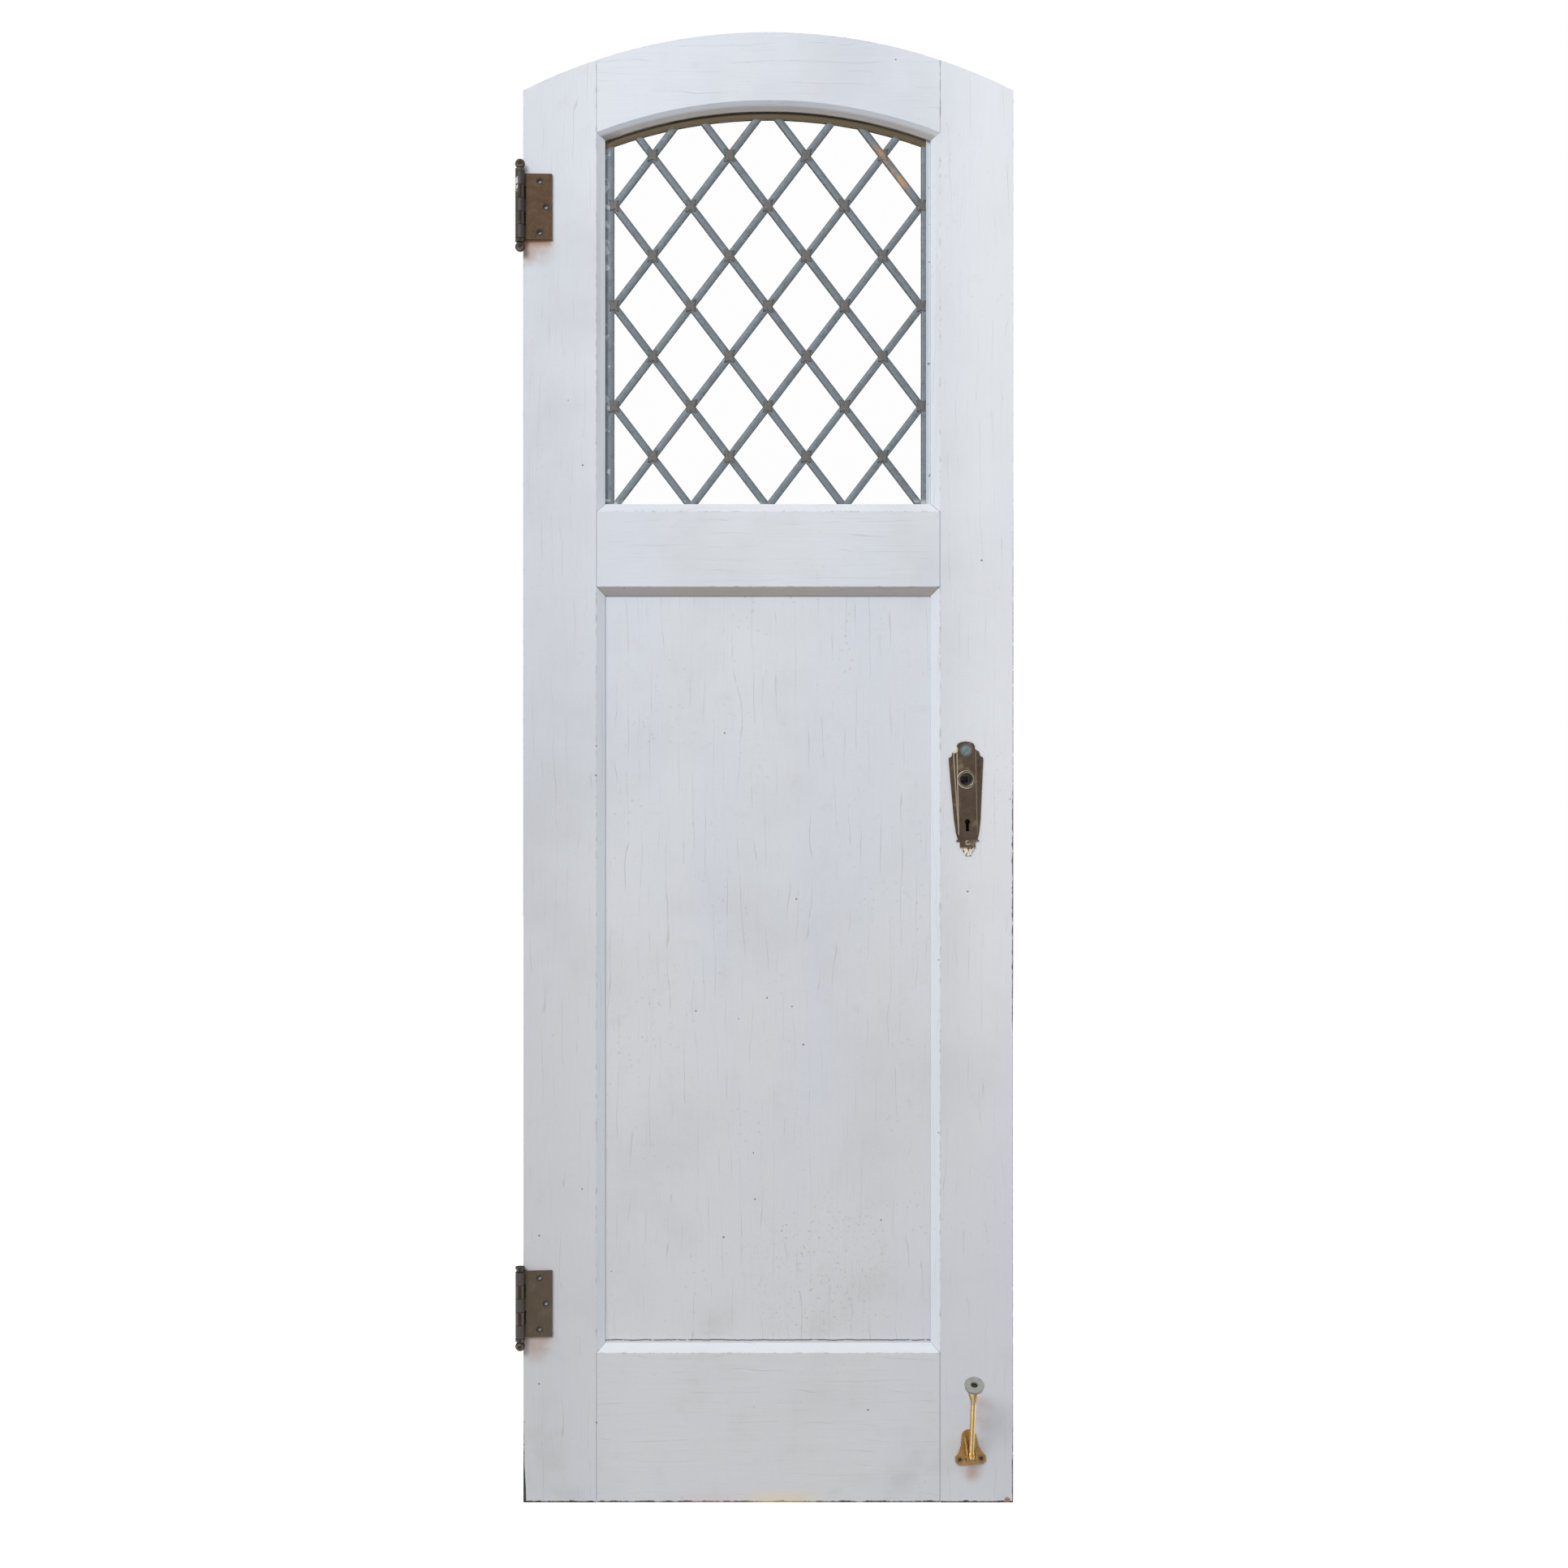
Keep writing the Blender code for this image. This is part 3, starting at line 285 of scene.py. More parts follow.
class Finish:
    """A material that is being built, on coordinates from the door's own origin."""

    def __init__(self, name):
        self.material = bpy.data.materials.new(name)
        self.material.use_nodes = True
        self.tree = self.material.node_tree
        self.shader = self.tree.nodes["Principled BSDF"]
        here = self.node('ShaderNodeTexCoord', output="Object")
        self.place = self.node(
            'ShaderNodeMapping', {}, {'Vector': here, 'Location': tuple(-ORIGIN)})
        self.x, self.y, self.z = self.split(self.place)

    def node(self, kind, settings=(), sockets=(), output=0):
        """The output of a new node, after its settings and then its sockets are set."""
        made = self.tree.nodes.new(kind)
        for name, value in dict(settings).items():
            setattr(made, name, value)
        for key, value in dict(sockets).items():
            if isinstance(value, Wire):
                self.tree.links.new(value.socket, made.inputs[key])
            else:
                made.inputs[key].default_value = value
        return Wire(self, made.outputs[output])

    def split(self, vector):
        """The three numbers of a vector."""
        parts = self.node('ShaderNodeSeparateXYZ', {}, {0: vector}).socket.node.outputs
        return [Wire(self, part) for part in parts]

    def facing(self):
        """The surface's own direction, as three numbers."""
        return self.split(self.node('ShaderNodeTexCoord', output="Normal"))

    def stretched(self, scale):
        """The place, scaled along each axis."""
        return self.node('ShaderNodeMapping', {}, {'Vector': self.place, 'Scale': scale})

    def noise(self, scale, detail=3.0, rough=0.5, at=None):
        """Cloudy noise from 0 to 1."""
        return self.node('ShaderNodeTexNoise', {}, {
            'Vector': at or self.place, 'Scale': scale, 'Detail': detail, 'Roughness': rough})

    def warped(self, at, scale, amount):
        """A place pushed about by noise, by up to half an amount."""
        push = self.node('ShaderNodeTexNoise', {}, {
            'Vector': at, 'Scale': scale, 'Detail': 2.0}, output="Color")
        return self.node('ShaderNodeVectorMath', {'operation': 'MULTIPLY_ADD'}, {
            0: push, 1: (amount,) * 3, 2: at})

    def cells(self, scale, output="Distance"):
        """Distance to the nearest cell's middle, or its random colour."""
        return self.node('ShaderNodeTexVoronoi', {}, {
            'Vector': self.place, 'Scale': scale}, output=output)

    def mix(self, share, first, second):
        """From a first colour to a second by a share."""
        colours = [c if isinstance(c, Wire) else (*c[:3], 1.0) for c in (first, second)]
        return self.node('ShaderNodeMix', {'data_type': 'RGBA', 'clamp_factor': True}, {
            0: share, 6: colours[0], 7: colours[1]}, output=2)

    def distance(self, x, z, at=None):
        """How far a point of the door's front is from another, seen square on."""
        ax, _, az = self.split(at) if at else (self.x, self.y, self.z)
        across, up = ax - x, az - z
        return (across * across + up * up) ** 0.5

    def spot(self, x, z, radius, at=None):
        """A soft disc on the door's front, 1 inside and 0 outside."""
        return self.distance(x, z, at).step(radius * 1.25, radius * 0.75)

    def halo(self, x, z, radius):
        """A wide soft glow on the door's front that fades to nothing at the radius."""
        return self.distance(x, z).step(radius, 0.0)

    def set(self, **values):
        """Set or link sockets of the shader, with _ for a space."""
        for key, value in values.items():
            socket = self.shader.inputs[key.replace("_", " ")]
            if isinstance(value, Wire):
                self.tree.links.new(value.socket, socket)
            elif isinstance(value, (int, float)):
                socket.default_value = value
            else:
                socket.default_value = (*value[:3], 1.0)

    def relief(self, height):
        """Give the surface a height in metres."""
        self.set(Normal=self.node('ShaderNodeBump', {}, {
            'Strength': 1.0, 'Distance': 1.0, 'Height': height}))


def leaf_holes():
    """X and Z of the jamb leaves' screw holes, as they lie in the photograph."""
    return [(reach - PIN_REACH, middle + step * LEAF_SCREW_STEP)
            for middle in HINGE_HEIGHTS.values() for step, reach in LEAF_SCREWS]


def edge_distance(finish):
    """Distance from the nearest corner between the door's edge and its front or back face."""
    crown = ARCH_RADIUS - finish.distance(0.0, ARCH_CENTRE_Z)
    crown = crown.most(finish.z.step(1.7, 1.6))
    side = HALF_WIDTH - abs(finish.x)
    depth = finish.y.least(DOOR_THICKNESS - finish.y)
    return side.least(finish.z).least(crown).most(depth)


def splay_distance(finish, low, high=NO_HEAD):
    """Distance outward from an opening's outer line, between two heights."""
    side = abs(finish.x) - OPENING_HALF
    foot = low - finish.z
    head = finish.z - high
    return side.most(foot).most(head)


def coat_colour(finish, settings, strokes, mottle):
    """White paint, greyer low down and on the left, paler on the right."""
    grey = screen(176, 176, 178)
    colour = finish.mix((finish.z / DOOR_HEIGHT).step(0.0, 1.0), settings.low, settings.high)
    clouds = finish.noise(4.5, 4.0, 0.6)
    colour = finish.mix(clouds.step(0.42, 0.72) * 0.22, colour, grey)
    colour = finish.mix(strokes.step(0.5, 0.8) * 0.13, colour, grey)
    colour = finish.mix(mottle.step(0.56, 0.78) * 0.07, colour, settings.stain_and_shade)
    tint = finish.noise(3.2, 2.0, 0.5, finish.stretched((1.5, 1, 0.35)))
    colour = finish.mix(tint.step(0.44, 0.60) * 0.16, colour, screen(200, 208, 232))
    colour = finish.mix(finish.x.step(-0.17, -0.31) * 0.15, colour, screen(146, 148, 158))
    paler_right = finish.x.step(0.22, 0.30) * finish.z.step(0.3, 0.9)
    return finish.mix(paler_right * 0.35, colour, screen(244, 246, 250))


def splay_shade_and_grime(finish, settings, colour):
    """Painted shade, tinted like dirt, on the splays that face down; painted light on the splays
    that face up or aside; and grime low down.
    """
    aside, _, up = finish.facing()
    deep = finish.y.step(0.0030, 0.0062).most(finish.z.step(1.5, 1.4))
    # Painted shade: the stain colour on faces that turn down, deep in the splays and under the
    # arch.
    under = (0.0 - up).step(0.2, 0.75) * deep
    colour = finish.mix(under * 0.66, colour, settings.stain_and_shade)
    # Painted light: paler paint on the splays that face up or aside.
    upward = up * finish.z.step(1.32, 1.30)
    lit_splays = upward.most(abs(aside)).step(0.25, 0.70) * deep * 0.60
    colour = finish.mix(lit_splays, colour, screen(228, 235, 244))
    grime = finish.noise(9, 5.0, 0.65).step(0.52, 0.75) * finish.z.step(0.45, 0.0)
    return finish.mix(grime * 0.12, colour, settings.stain_and_shade)


def hairlines(finish, grain):
    """Where fine broken cracks run along the grain."""
    across, slow = (finish.x, (1, 1, 0.14)) if grain == 'UPRIGHT' else (finish.z, (0.14, 1, 1))
    wander = finish.noise(13, 4.0, 0.6, finish.stretched(slow))
    lanes = (across + (wander - 0.5) * 0.060) * 64
    hairs = abs(lanes.work('FRACT', lanes) - 0.5).step(0.034, 0.010)
    broken = finish.noise(75, 3.0, 0.6, finish.stretched(slow))
    return hairs * broken.step(0.47, 0.60)


def speckles(finish, settings, colour, strength):
    """Fine dirt and crowds of small faint spots."""
    speckle = finish.noise(300, 3.0, 0.7).step(0.56, 0.70) * finish.z.step(1.5, 1.0)
    colour = finish.mix(speckle * 0.07, colour, settings.stain_and_shade)
    crowd = finish.noise(7.0, 3.0, 0.6).step(0.46, 0.64)
    spots = finish.cells(95).step(0.24, 0.08) * crowd
    return finish.mix(spots * strength, colour, settings.stain_and_shade)


def dark_specks(finish):
    """Where a few small dark specks are, in less than a tenth of the cells."""
    chance = finish.node('ShaderNodeSeparateColor', {}, {0: finish.cells(52, output="Color")})
    return finish.cells(52).step(0.09, 0.05) * chance.step(0.90, 0.93)


def worn_edges(finish, settings, colour, ragged):
    """The colour with bare wood along the door's corners, and where the paint is chipped."""
    edge = edge_distance(finish)
    right = finish.x.step(0.2, 0.3)
    worn = finish.z.step(0.16, 0.04).most(
        finish.z.step(0.62, 0.66) * finish.z.step(0.99, 0.93) * right)
    reach = (ragged - 0.5) * 0.0058 + worn * 0.0019 - 0.0007
    chips = (edge - reach).step(0.0004, -0.0003)
    colour = finish.mix(chips, colour, settings.wood)
    rim = (edge - reach).step(0.0016, 0.0004) * (1 - chips)
    colour = finish.mix(rim * 0.3, colour, settings.stain_and_shade)
    arris = edge.step(0.0013, 0.0005) * right * finish.z.step(1.4, 1.2)
    colour = finish.mix(arris * ragged.step(0.36, 0.50) * 0.85, colour, screen(112, 88, 78))
    return colour, chips


def foot_wear(finish, colour, ragged, front):
    """The dark line and the stains along the foot, a dark grey wedge at the foot of the hinge side,
    and a bare corner at the lock side.
    """
    foot_line = (finish.z - 0.0021 - (ragged - 0.5) * 0.0062).step(0.0007, -0.0003)
    colour = finish.mix(foot_line, colour, screen(54, 42, 40))
    taper = (finish.z + finish.y * 3.0 + (ragged - 0.5) * 0.03).step(0.085, 0.0)
    wedge = (finish.x + HALF_WIDTH - taper * 0.0040).step(0.0005, -0.0003)
    colour = finish.mix(wedge * taper.step(0.0, 0.10), colour, screen(46, 46, 50))
    corner = finish.spot(0.3235, 0.0050, 0.0040, finish.warped(finish.place, 200, 0.003))
    colour = finish.mix(corner * front, colour, screen(150, 118, 96))
    seep = finish.z.step(0.022, 0.001) * front
    yellow = abs(finish.x - 0.018).step(0.066, 0.016) * seep
    colour = finish.mix(yellow * 0.50, colour, screen(232, 208, 160))
    rosy = abs(finish.x + 0.078).step(0.052, 0.012) * seep
    return finish.mix(rosy * 0.24, colour, screen(216, 180, 178))


def splay_lines(finish, settings, colour, ragged):
    """A broken dark line, in the stain colour, along the outer lines of the splays."""
    light = splay_distance(finish, LIGHT_FLOOR)
    lower = splay_distance(finish, BOTTOM_RAIL_FACE, MIDDLE_RAIL_BOTTOM)
    line = abs(lower).least(abs(light)).step(0.0018, 0.0004)
    return finish.mix(line * ragged.step(0.45, 0.7) * 0.45, colour, settings.stain_and_shade)


def painted_metal_shadows(finish, colour, front):
    """Painted warm shadows beside the hinges and the door holder."""
    # Painted shadow: a warm band right under each jamb leaf, which stands off the paint.
    for foot, depth in PAINTED_LEAF_SHADOWS:
        drop = foot - finish.z
        band = drop.step(-0.002, 0.0) * drop.step(0.012, 0.003) * finish.x.step(-0.286, -0.298)
        colour = finish.mix(band * front * depth, colour, screen(178, 122, 70))
    # Painted warm shadows beside the hinge leaves and the door holder, broken up by noise.
    blotches = finish.noise(30, 3.0, 0.6).step(0.25, 0.6)
    for x, z, radius, depth in PAINTED_WARM_SHADOWS:
        near = finish.halo(x, z, radius) * blotches * front * depth
        colour = finish.mix(near, colour, screen(172, 146, 130))
    return colour


def painted_hole_shadows(finish, colour, front):
    """Painted shadows on the hinge stile, where the paint shows through the holes of the jamb
    leaves.
    """
    for x, z in leaf_holes():
        # Painted shadow of each hole's upper wall, a little above and left of its middle.
        dark_mask = finish.halo(x - 0.0010, z + 0.0016, 0.0062) * front * 0.85
        colour = finish.mix(dark_mask, colour, screen(58, 46, 40))
    return colour


def shaded_lock_ways(finish, colour):
    """Bare wood inside the ways for the knob and the key, darkened to near black as painted shade.
    """
    knob = finish.spot(LOCK_X, KNOB_Z, 0.0094)
    slot = abs(finish.x - LOCK_X - KEYHOLE_SHIFT).step(0.0052, 0.0046)
    key = slot * abs(finish.z - KNOB_Z + KEYHOLE_DROP).step(0.0145, 0.0135)
    return finish.mix(knob.most(key), colour, screen(34, 28, 24))


def panel_wear(finish, settings, colour, ragged):
    """The panel's colour with the joint at its foot, a rubbed patch and knocks, and its relief."""
    sag = finish.noise(60, 4.0, 0.7, finish.stretched((1, 1, 0.2)))
    off = finish.z - (BOTTOM_RAIL_FACE + SPLAY_WIDTH + 0.0012 + sag * 0.0030)
    gap = abs(off).step(0.0009, 0.0003) * ragged.step(0.30, 0.42)
    colour = finish.mix(gap * 0.85, colour, settings.crack)
    bead = abs(off - 0.0022).step(0.0022, 0.0)
    dark_mask = finish.noise(230, 4.0, 0.7).step(0.58, 0.70)
    patch = finish.spot(0.10, 0.34, 0.10, finish.warped(finish.place, 14, 0.06))
    colour = finish.mix(dark_mask * patch * 0.45, colour, settings.stain_and_shade)
    for x, z, radius in PANEL_KNOCKS:
        colour = finish.mix(finish.spot(x, z, radius) * 0.8, colour, settings.crack)
    return colour, bead * 0.0004 - gap * 0.0006


def old_paint(name, grain, panel=False):
    """Brushed white paint over older coats: strokes, stains, cracks, specks and worn edges, with
    painted shade on the splays and in the lock's ways, and painted shadows beside the metal.
    """
    settings = bpy.context.scene.door_paint
    finish = Finish(name)
    along = finish.stretched((1, 1, 0.03) if grain == 'UPRIGHT' else (0.03, 1, 1))
    strokes = finish.noise(430, 4.0, 0.55, along)
    ridges = finish.noise(150, 3.0, 0.5, along)
    mottle = finish.noise(38, 4.0, 0.6)
    grit = finish.noise(700, 2.0, 0.5)
    ragged = finish.noise(85, 4.0, 0.65)
    front = finish.y.step(0.030, 0.012)
    cracks = hairlines(finish, grain)
    specks = dark_specks(finish)

    colour = coat_colour(finish, settings, strokes, mottle)
    colour = splay_shade_and_grime(finish, settings, colour)
    colour = finish.mix(cracks * (0.21 if panel else 0.15), colour, settings.crack)
    colour = speckles(finish, settings, colour, 0.20 if panel else 0.11)
    colour = finish.mix(specks * 0.75, colour, settings.crack)
    colour, chips = worn_edges(finish, settings, colour, ragged)
    colour = foot_wear(finish, colour, ragged, front)
    colour = splay_lines(finish, settings, colour, ragged)
    colour = painted_metal_shadows(finish, colour, front)
    if name.startswith("hinge_stile"):
        colour = painted_hole_shadows(finish, colour, front)
    colour = shaded_lock_ways(finish, colour)

    height = (strokes - 0.5) * settings.brush_relief * 0.8
    height = height + (ridges - 0.5) * settings.brush_relief * 1.8
    height = height + (grit - 0.5) * 0.00003 + (mottle - 0.5) * 0.00022
    height = height - cracks * 0.00008 - chips * 0.0006 + specks * 0.0001
    if panel:
        colour, raised = panel_wear(finish, settings, colour, ragged)
        height = height + raised

    finish.set(Base_Color=colour, Roughness=0.42 + mottle * 0.22 + chips * 0.2)
    finish.shader.inputs["Specular IOR Level"].default_value = 0.35
    finish.relief(height)
    return finish.material


def clear_glass():
    """Old clear window glass, a little wavy."""
    finish = Finish("clear_glass")
    finish.set(Base_Color=(1.0, 1.0, 1.0), Transmission_Weight=1.0, IOR=1.45)
    waves = finish.noise(16, 2.0)
    haze = finish.noise(60, 4.0, 0.7)
    finish.set(Roughness=haze.step(0.5, 0.9) * 0.06)
    finish.relief(waves * 0.0004)
    return finish.material


def lead_finish(name, colour, patchy):
    """Weathered lead, with cement dirt and painted shade on its steep sides, and a painted shadow
    on the border under the arch.
    """
    settings = bpy.context.scene.door_light
    finish = Finish(name)
    _, out, _ = finish.facing()
    # Cement dirt and painted shade: darker where the lead's face turns away from the front.
    sides = abs(out).step(0.92, 0.60)
    tarnish = finish.noise(95, 4.0, 0.65)
    fine = finish.noise(620, 3.0, 0.6)
    mixed = finish.mix(tarnish.step(0.45, 0.75) * patchy, colour, screen(88, 92, 92))
    mixed = finish.mix(fine.step(0.5, 0.8) * 0.35, mixed, screen(170, 178, 182))
    blotches = finish.noise(34, 5.0, 0.7).step(0.66, 0.78)
    mixed = finish.mix(blotches * 0.5, mixed, screen(120, 90, 58))
    mixed = finish.mix(sides, mixed, settings.lead_edge_cement_and_shade)

    # Painted shadow on the border came under the arch.
    out_from_arch = finish.distance(0.0, ARCH_CENTRE_Z) - BORDER_RADIUS
    arch_shadow = out_from_arch.step(-0.0016, 0.0006) * finish.z.step(1.6, 1.7)
    mixed = finish.mix(arch_shadow, mixed, screen(88, 73, 48))

    along = (finish.z - 1.858) + (finish.x - 0.1251) * LATTICE_SLOPE
    orange = finish.halo(0.1512, 1.8207, 0.024).most(finish.halo(0.1830, 1.7890, 0.034))
    streak = abs(along).step(0.009, 0.004) * orange * tarnish.step(0.40, 0.60)
    mixed = finish.mix(streak * 0.75, mixed, screen(190, 146, 104))

    daub = finish.noise(70, 2.0, 0.5)
    right = finish.x.step(0.2138, 0.2150) * daub.step(0.28, 0.36)
    left = finish.x.step(-0.2130, -0.2150) * daub.step(0.54, 0.64) * 0.45
    foot = finish.z.step(LATTICE_FLOOR + 0.012, LATTICE_FLOOR + 0.005) * daub.step(0.55, 0.62)
    smear = right.most(left).most(foot * 0.6)
    mixed = finish.mix(smear, mixed, screen(206, 212, 218))
    dull_mask = sides.most(smear).most(arch_shadow)
    finish.set(Base_Color=mixed, Roughness=0.48 + tarnish * 0.25,
               Metallic=(0.45 - dull_mask * 0.45).most(0.0))
    finish.relief((tarnish - 0.5) * 0.0004 + (fine - 0.5) * 0.00006)
    return finish.material


def old_metal(name, colour, worn, metallic=0.85, rough=0.42, shine=0.4, marks=()):
    """Tarnished metal: mottled, pitted, rubbed brighter in patches and with a painted highlight on
    its edges, with other marks.

    A mark is a colour and a function that gives its share of the surface."""
    finish = Finish(name)
    cloud = finish.noise(120, 5.0, 0.65)
    fine = finish.noise(900, 3.0, 0.6)
    rubbed = finish.noise(60, 4.0, 0.6).step(0.52, 0.74)
    mixed = finish.mix(cloud.step(0.35, 0.75) * 0.55, colour, tuple(c * 0.45 for c in colour))
    # The worn colour marks rubbed patches here, and is the painted highlight on the edges below.
    mixed = finish.mix(rubbed * shine, mixed, worn)
    mixed = finish.mix(fine.step(0.62, 0.78) * 0.5, mixed, tuple(c * 0.3 for c in colour))
    _, out, _ = finish.facing()
    # Painted highlight: the worn colour on faces that turn aside from the front, where rounded
    # edges catch the light.
    arris = abs(out).step(0.35, 0.65) * abs(out).step(0.97, 0.85)
    mixed = finish.mix(arris * shine, mixed, worn)
    painted = 0.0
    for mark, share in marks:
        covered = share(finish)
        mixed = finish.mix(covered, mixed, mark)
        painted = covered + painted
    metal = (metallic - painted) if marks else metallic
    finish.set(Base_Color=mixed, Metallic=metal.most(0.0) if marks else metal,
               Roughness=rough + cloud * 0.25 - rubbed * 0.12)
    finish.relief((cloud - 0.5) * 0.0003 + (fine - 0.5) * 0.00008)
    return finish.material


def barrel_share(finish):
    """Where a hinge leaf wraps its pin."""
    across, out = finish.x + PIN_REACH, finish.y + PIN_PROUD
    return ((across * across + out * out) ** 0.5).step(0.0090, 0.0072)


def low_leaf(finish):
    """The lower hinge, which is darker and greener than the upper one."""
    return finish.z.step(1.0, 0.9) * 0.55


def hole_rings(finish):
    """Dirt round the three screw holes of each jamb leaf."""
    rings = 0.0
    for x, z in leaf_holes():
        rings = finish.distance(x, z).step(0.0068, 0.0046) * 0.6 + rings
    return rings


def barrel_paint(finish):
    """Scraps of white paint on the left of the upper barrel and along a leaf's top."""
    scraps = finish.noise(260, 4.0, 0.7).step(0.45, 0.55)
    left = finish.x.step(-0.3352, -0.3372)
    height = abs(finish.z - 1.7725).step(0.011, 0.008)
    return left * height * scraps


def brass_reflection_and_shade(finish):
    """A painted reflection: a dark band down the arm's middle; and painted shade on the faces that
    turn down, in the turns of its bracket.
    """
    aside, out, up = finish.facing()
    # Painted reflection down the round arm, then painted shade on faces that turn down.
    line = abs(aside - 0.10).step(0.42, 0.06) * (0.0 - out).step(0.4, 0.8)
    return line * 0.62 + (0.0 - up).step(0.30, 0.80) * 0.35


def ear_dirt(finish):
    """Dark dirt round the bracket's two screws."""
    left = finish.halo(0.2577, 0.0585, 0.0075)
    return left.most(finish.halo(0.2868, 0.0605, 0.0075)) * 0.8


def plate_paint(finish):
    """Cream paint left on the lock plate's foot and at its upper left shoulder."""
    daub = finish.noise(320, 4.0, 0.7)
    foot = finish.z.step(0.884, 0.879) * daub.step(0.40, 0.52)
    shoulder = finish.spot(0.2502, 1.0150, 0.0048) * daub.step(0.36, 0.46)
    return foot.most(shoulder)


def plate_places(finish):
    """How far a point lies across and above the middle of the tilted lock plate."""
    above = finish.z - KNOB_Z
    return finish.x - LOCK_X + above * tan(PLATE_TILT), above


def plate_ridge_highlights(finish):
    """Painted highlights on the rubbed ridges down the plate's sides: two on the left, a dim one on
    the right.
    """
    across, above = plate_places(finish)
    # Painted highlight lines, brighter on the left where the light falls.
    inner = abs(across + 0.0121).step(0.0009, 0.0003)
    outer = abs(across + 0.0153 + above * 0.044).step(0.0008, 0.0003) * 0.8
    right = abs(across - 0.0131).step(0.0008, 0.0003) * 0.35
    return inner.most(outer).most(right) * above.step(-0.076, -0.073) * above.step(0.040, 0.036)


def plate_groove_dirt_and_shade(finish):
    """Dirt and painted shade in the grooves beside the ridges."""
    across, above = plate_places(finish)
    left = abs(across + 0.0137).step(0.0014, 0.0006)
    right = abs(across - 0.0142).step(0.0011, 0.0004)
    return left.most(right) * above.step(-0.076, -0.073) * above.step(0.040, 0.036) * 0.75


def collar_shade(finish):
    """Painted shade on the side of the knob collar that faces right, away from the light."""
    aside, _, _ = finish.facing()
    return aside.step(0.0, 0.5) * 0.7


def upper_head(finish):
    """The upper screw of the lock plate, which has gone blue-green."""
    return finish.spot(*UPPER_PLATE_SCREW, 0.0045) * 0.8


def plate_bloom(finish):
    """The pale blue bloom round the lock plate's upper screw."""
    bloom = finish.noise(220, 3.0, 0.7).step(0.25, 0.5)
    return finish.halo(*UPPER_PLATE_SCREW, 0.0105) * bloom


# Shapes

def new_piece(name, shape, material, body, replaced=(), smooth=radians(35)):
    """Turn a bmesh in the frame's coordinates into a finished piece."""
    bmesh.ops.remove_doubles(shape, verts=shape.verts, dist=0.000002)
    bmesh.ops.recalc_face_normals(shape, faces=shape.faces)
    mesh = bpy.data.meshes.new(name)
    shape.to_mesh(mesh)
    shape.free()
    mesh.materials.append(material)
    mesh.shade_smooth()
    mesh.set_sharp_from_angle(angle=smooth)
    piece = bpy.data.objects.new(name, mesh)
    bpy.context.scene.collection.objects.link(piece)
    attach(piece, body)
    if replaced:
        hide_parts(*replaced)
    return piece


def paint_node(node, material):
    """Give a CAD node its finish."""
    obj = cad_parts[node]
    obj.data.materials.clear()
    obj.data.materials.append(material)


def rounded_copy(node, width, shortest, segments=2):
    """A merged copy of a CAD node with its longer edges rounded."""
    shape = bmesh.new()
    shape.from_mesh(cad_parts[node].data)
    bmesh.ops.remove_doubles(shape, verts=shape.verts, dist=0.00001)
    bmesh.ops.dissolve_limit(
        shape, angle_limit=radians(0.8), verts=shape.verts, edges=shape.edges)
    bmesh.ops.recalc_face_normals(shape, faces=shape.faces)
    edges = [edge for edge in shape.edges if len(edge.link_faces) == 2
             and edge.calc_face_angle() > radians(28) and edge.calc_length() > shortest]
    bmesh.ops.bevel(shape, geom=edges, offset=width, segments=segments, profile=0.5,
                    affect='EDGES', material=-1, clamp_overlap=True)
    return shape


def add_weighted_normals(piece):
    """Keep broad faces flat where they meet rounded edges."""
    modifier = piece.modifiers.new("flat_faces", 'WEIGHTED_NORMAL')
    modifier.keep_sharp = True


def add_turned(shape, profile, matrix, steps):
    """Spin a profile of (radius, height) about Z, then put it in place."""
    corners = [shape.verts.new((radius, 0, height)) for radius, height in profile]
    edges = [shape.edges.new(pair) for pair in zip(corners, corners[1:])]
    before = set(shape.verts) - set(corners)
    bmesh.ops.spin(shape, geom=corners + edges, cent=(0, 0, 0), axis=(0, 0, 1),
                   angle=2 * pi, steps=steps, use_merge=True)
    made = [vert for vert in shape.verts if vert not in before]
    bmesh.ops.transform(shape, matrix=matrix, verts=made)


def rounded_profile(points, radius, steps=3):
    """A profile with its inner corners rounded."""
    rounded = [points[0]]
    for before, corner, after in zip(points, points[1:], points[2:]):
        corner = Vector(corner)
        to_before, to_after = Vector(before) - corner, Vector(after) - corner
        cut = min(radius, to_before.length * 0.45, to_after.length * 0.45)
        start = corner + to_before.normalized() * cut
        end = corner + to_after.normalized() * cut
        for i in range(steps + 1):
            share = i / steps
            point = start * (1 - share) ** 2 + corner * 2 * share * (1 - share)
            rounded.append(tuple(point + end * share ** 2))
    return rounded + [points[-1]]


def aim(axis, spin=0.0):
    """A turn that takes Z to an axis, after a spin about Z."""
    turn = Vector((0, 0, 1)).rotation_difference(Vector(axis)).to_matrix().to_4x4()
    return turn @ Matrix.Rotation(spin, 4, 'Z')


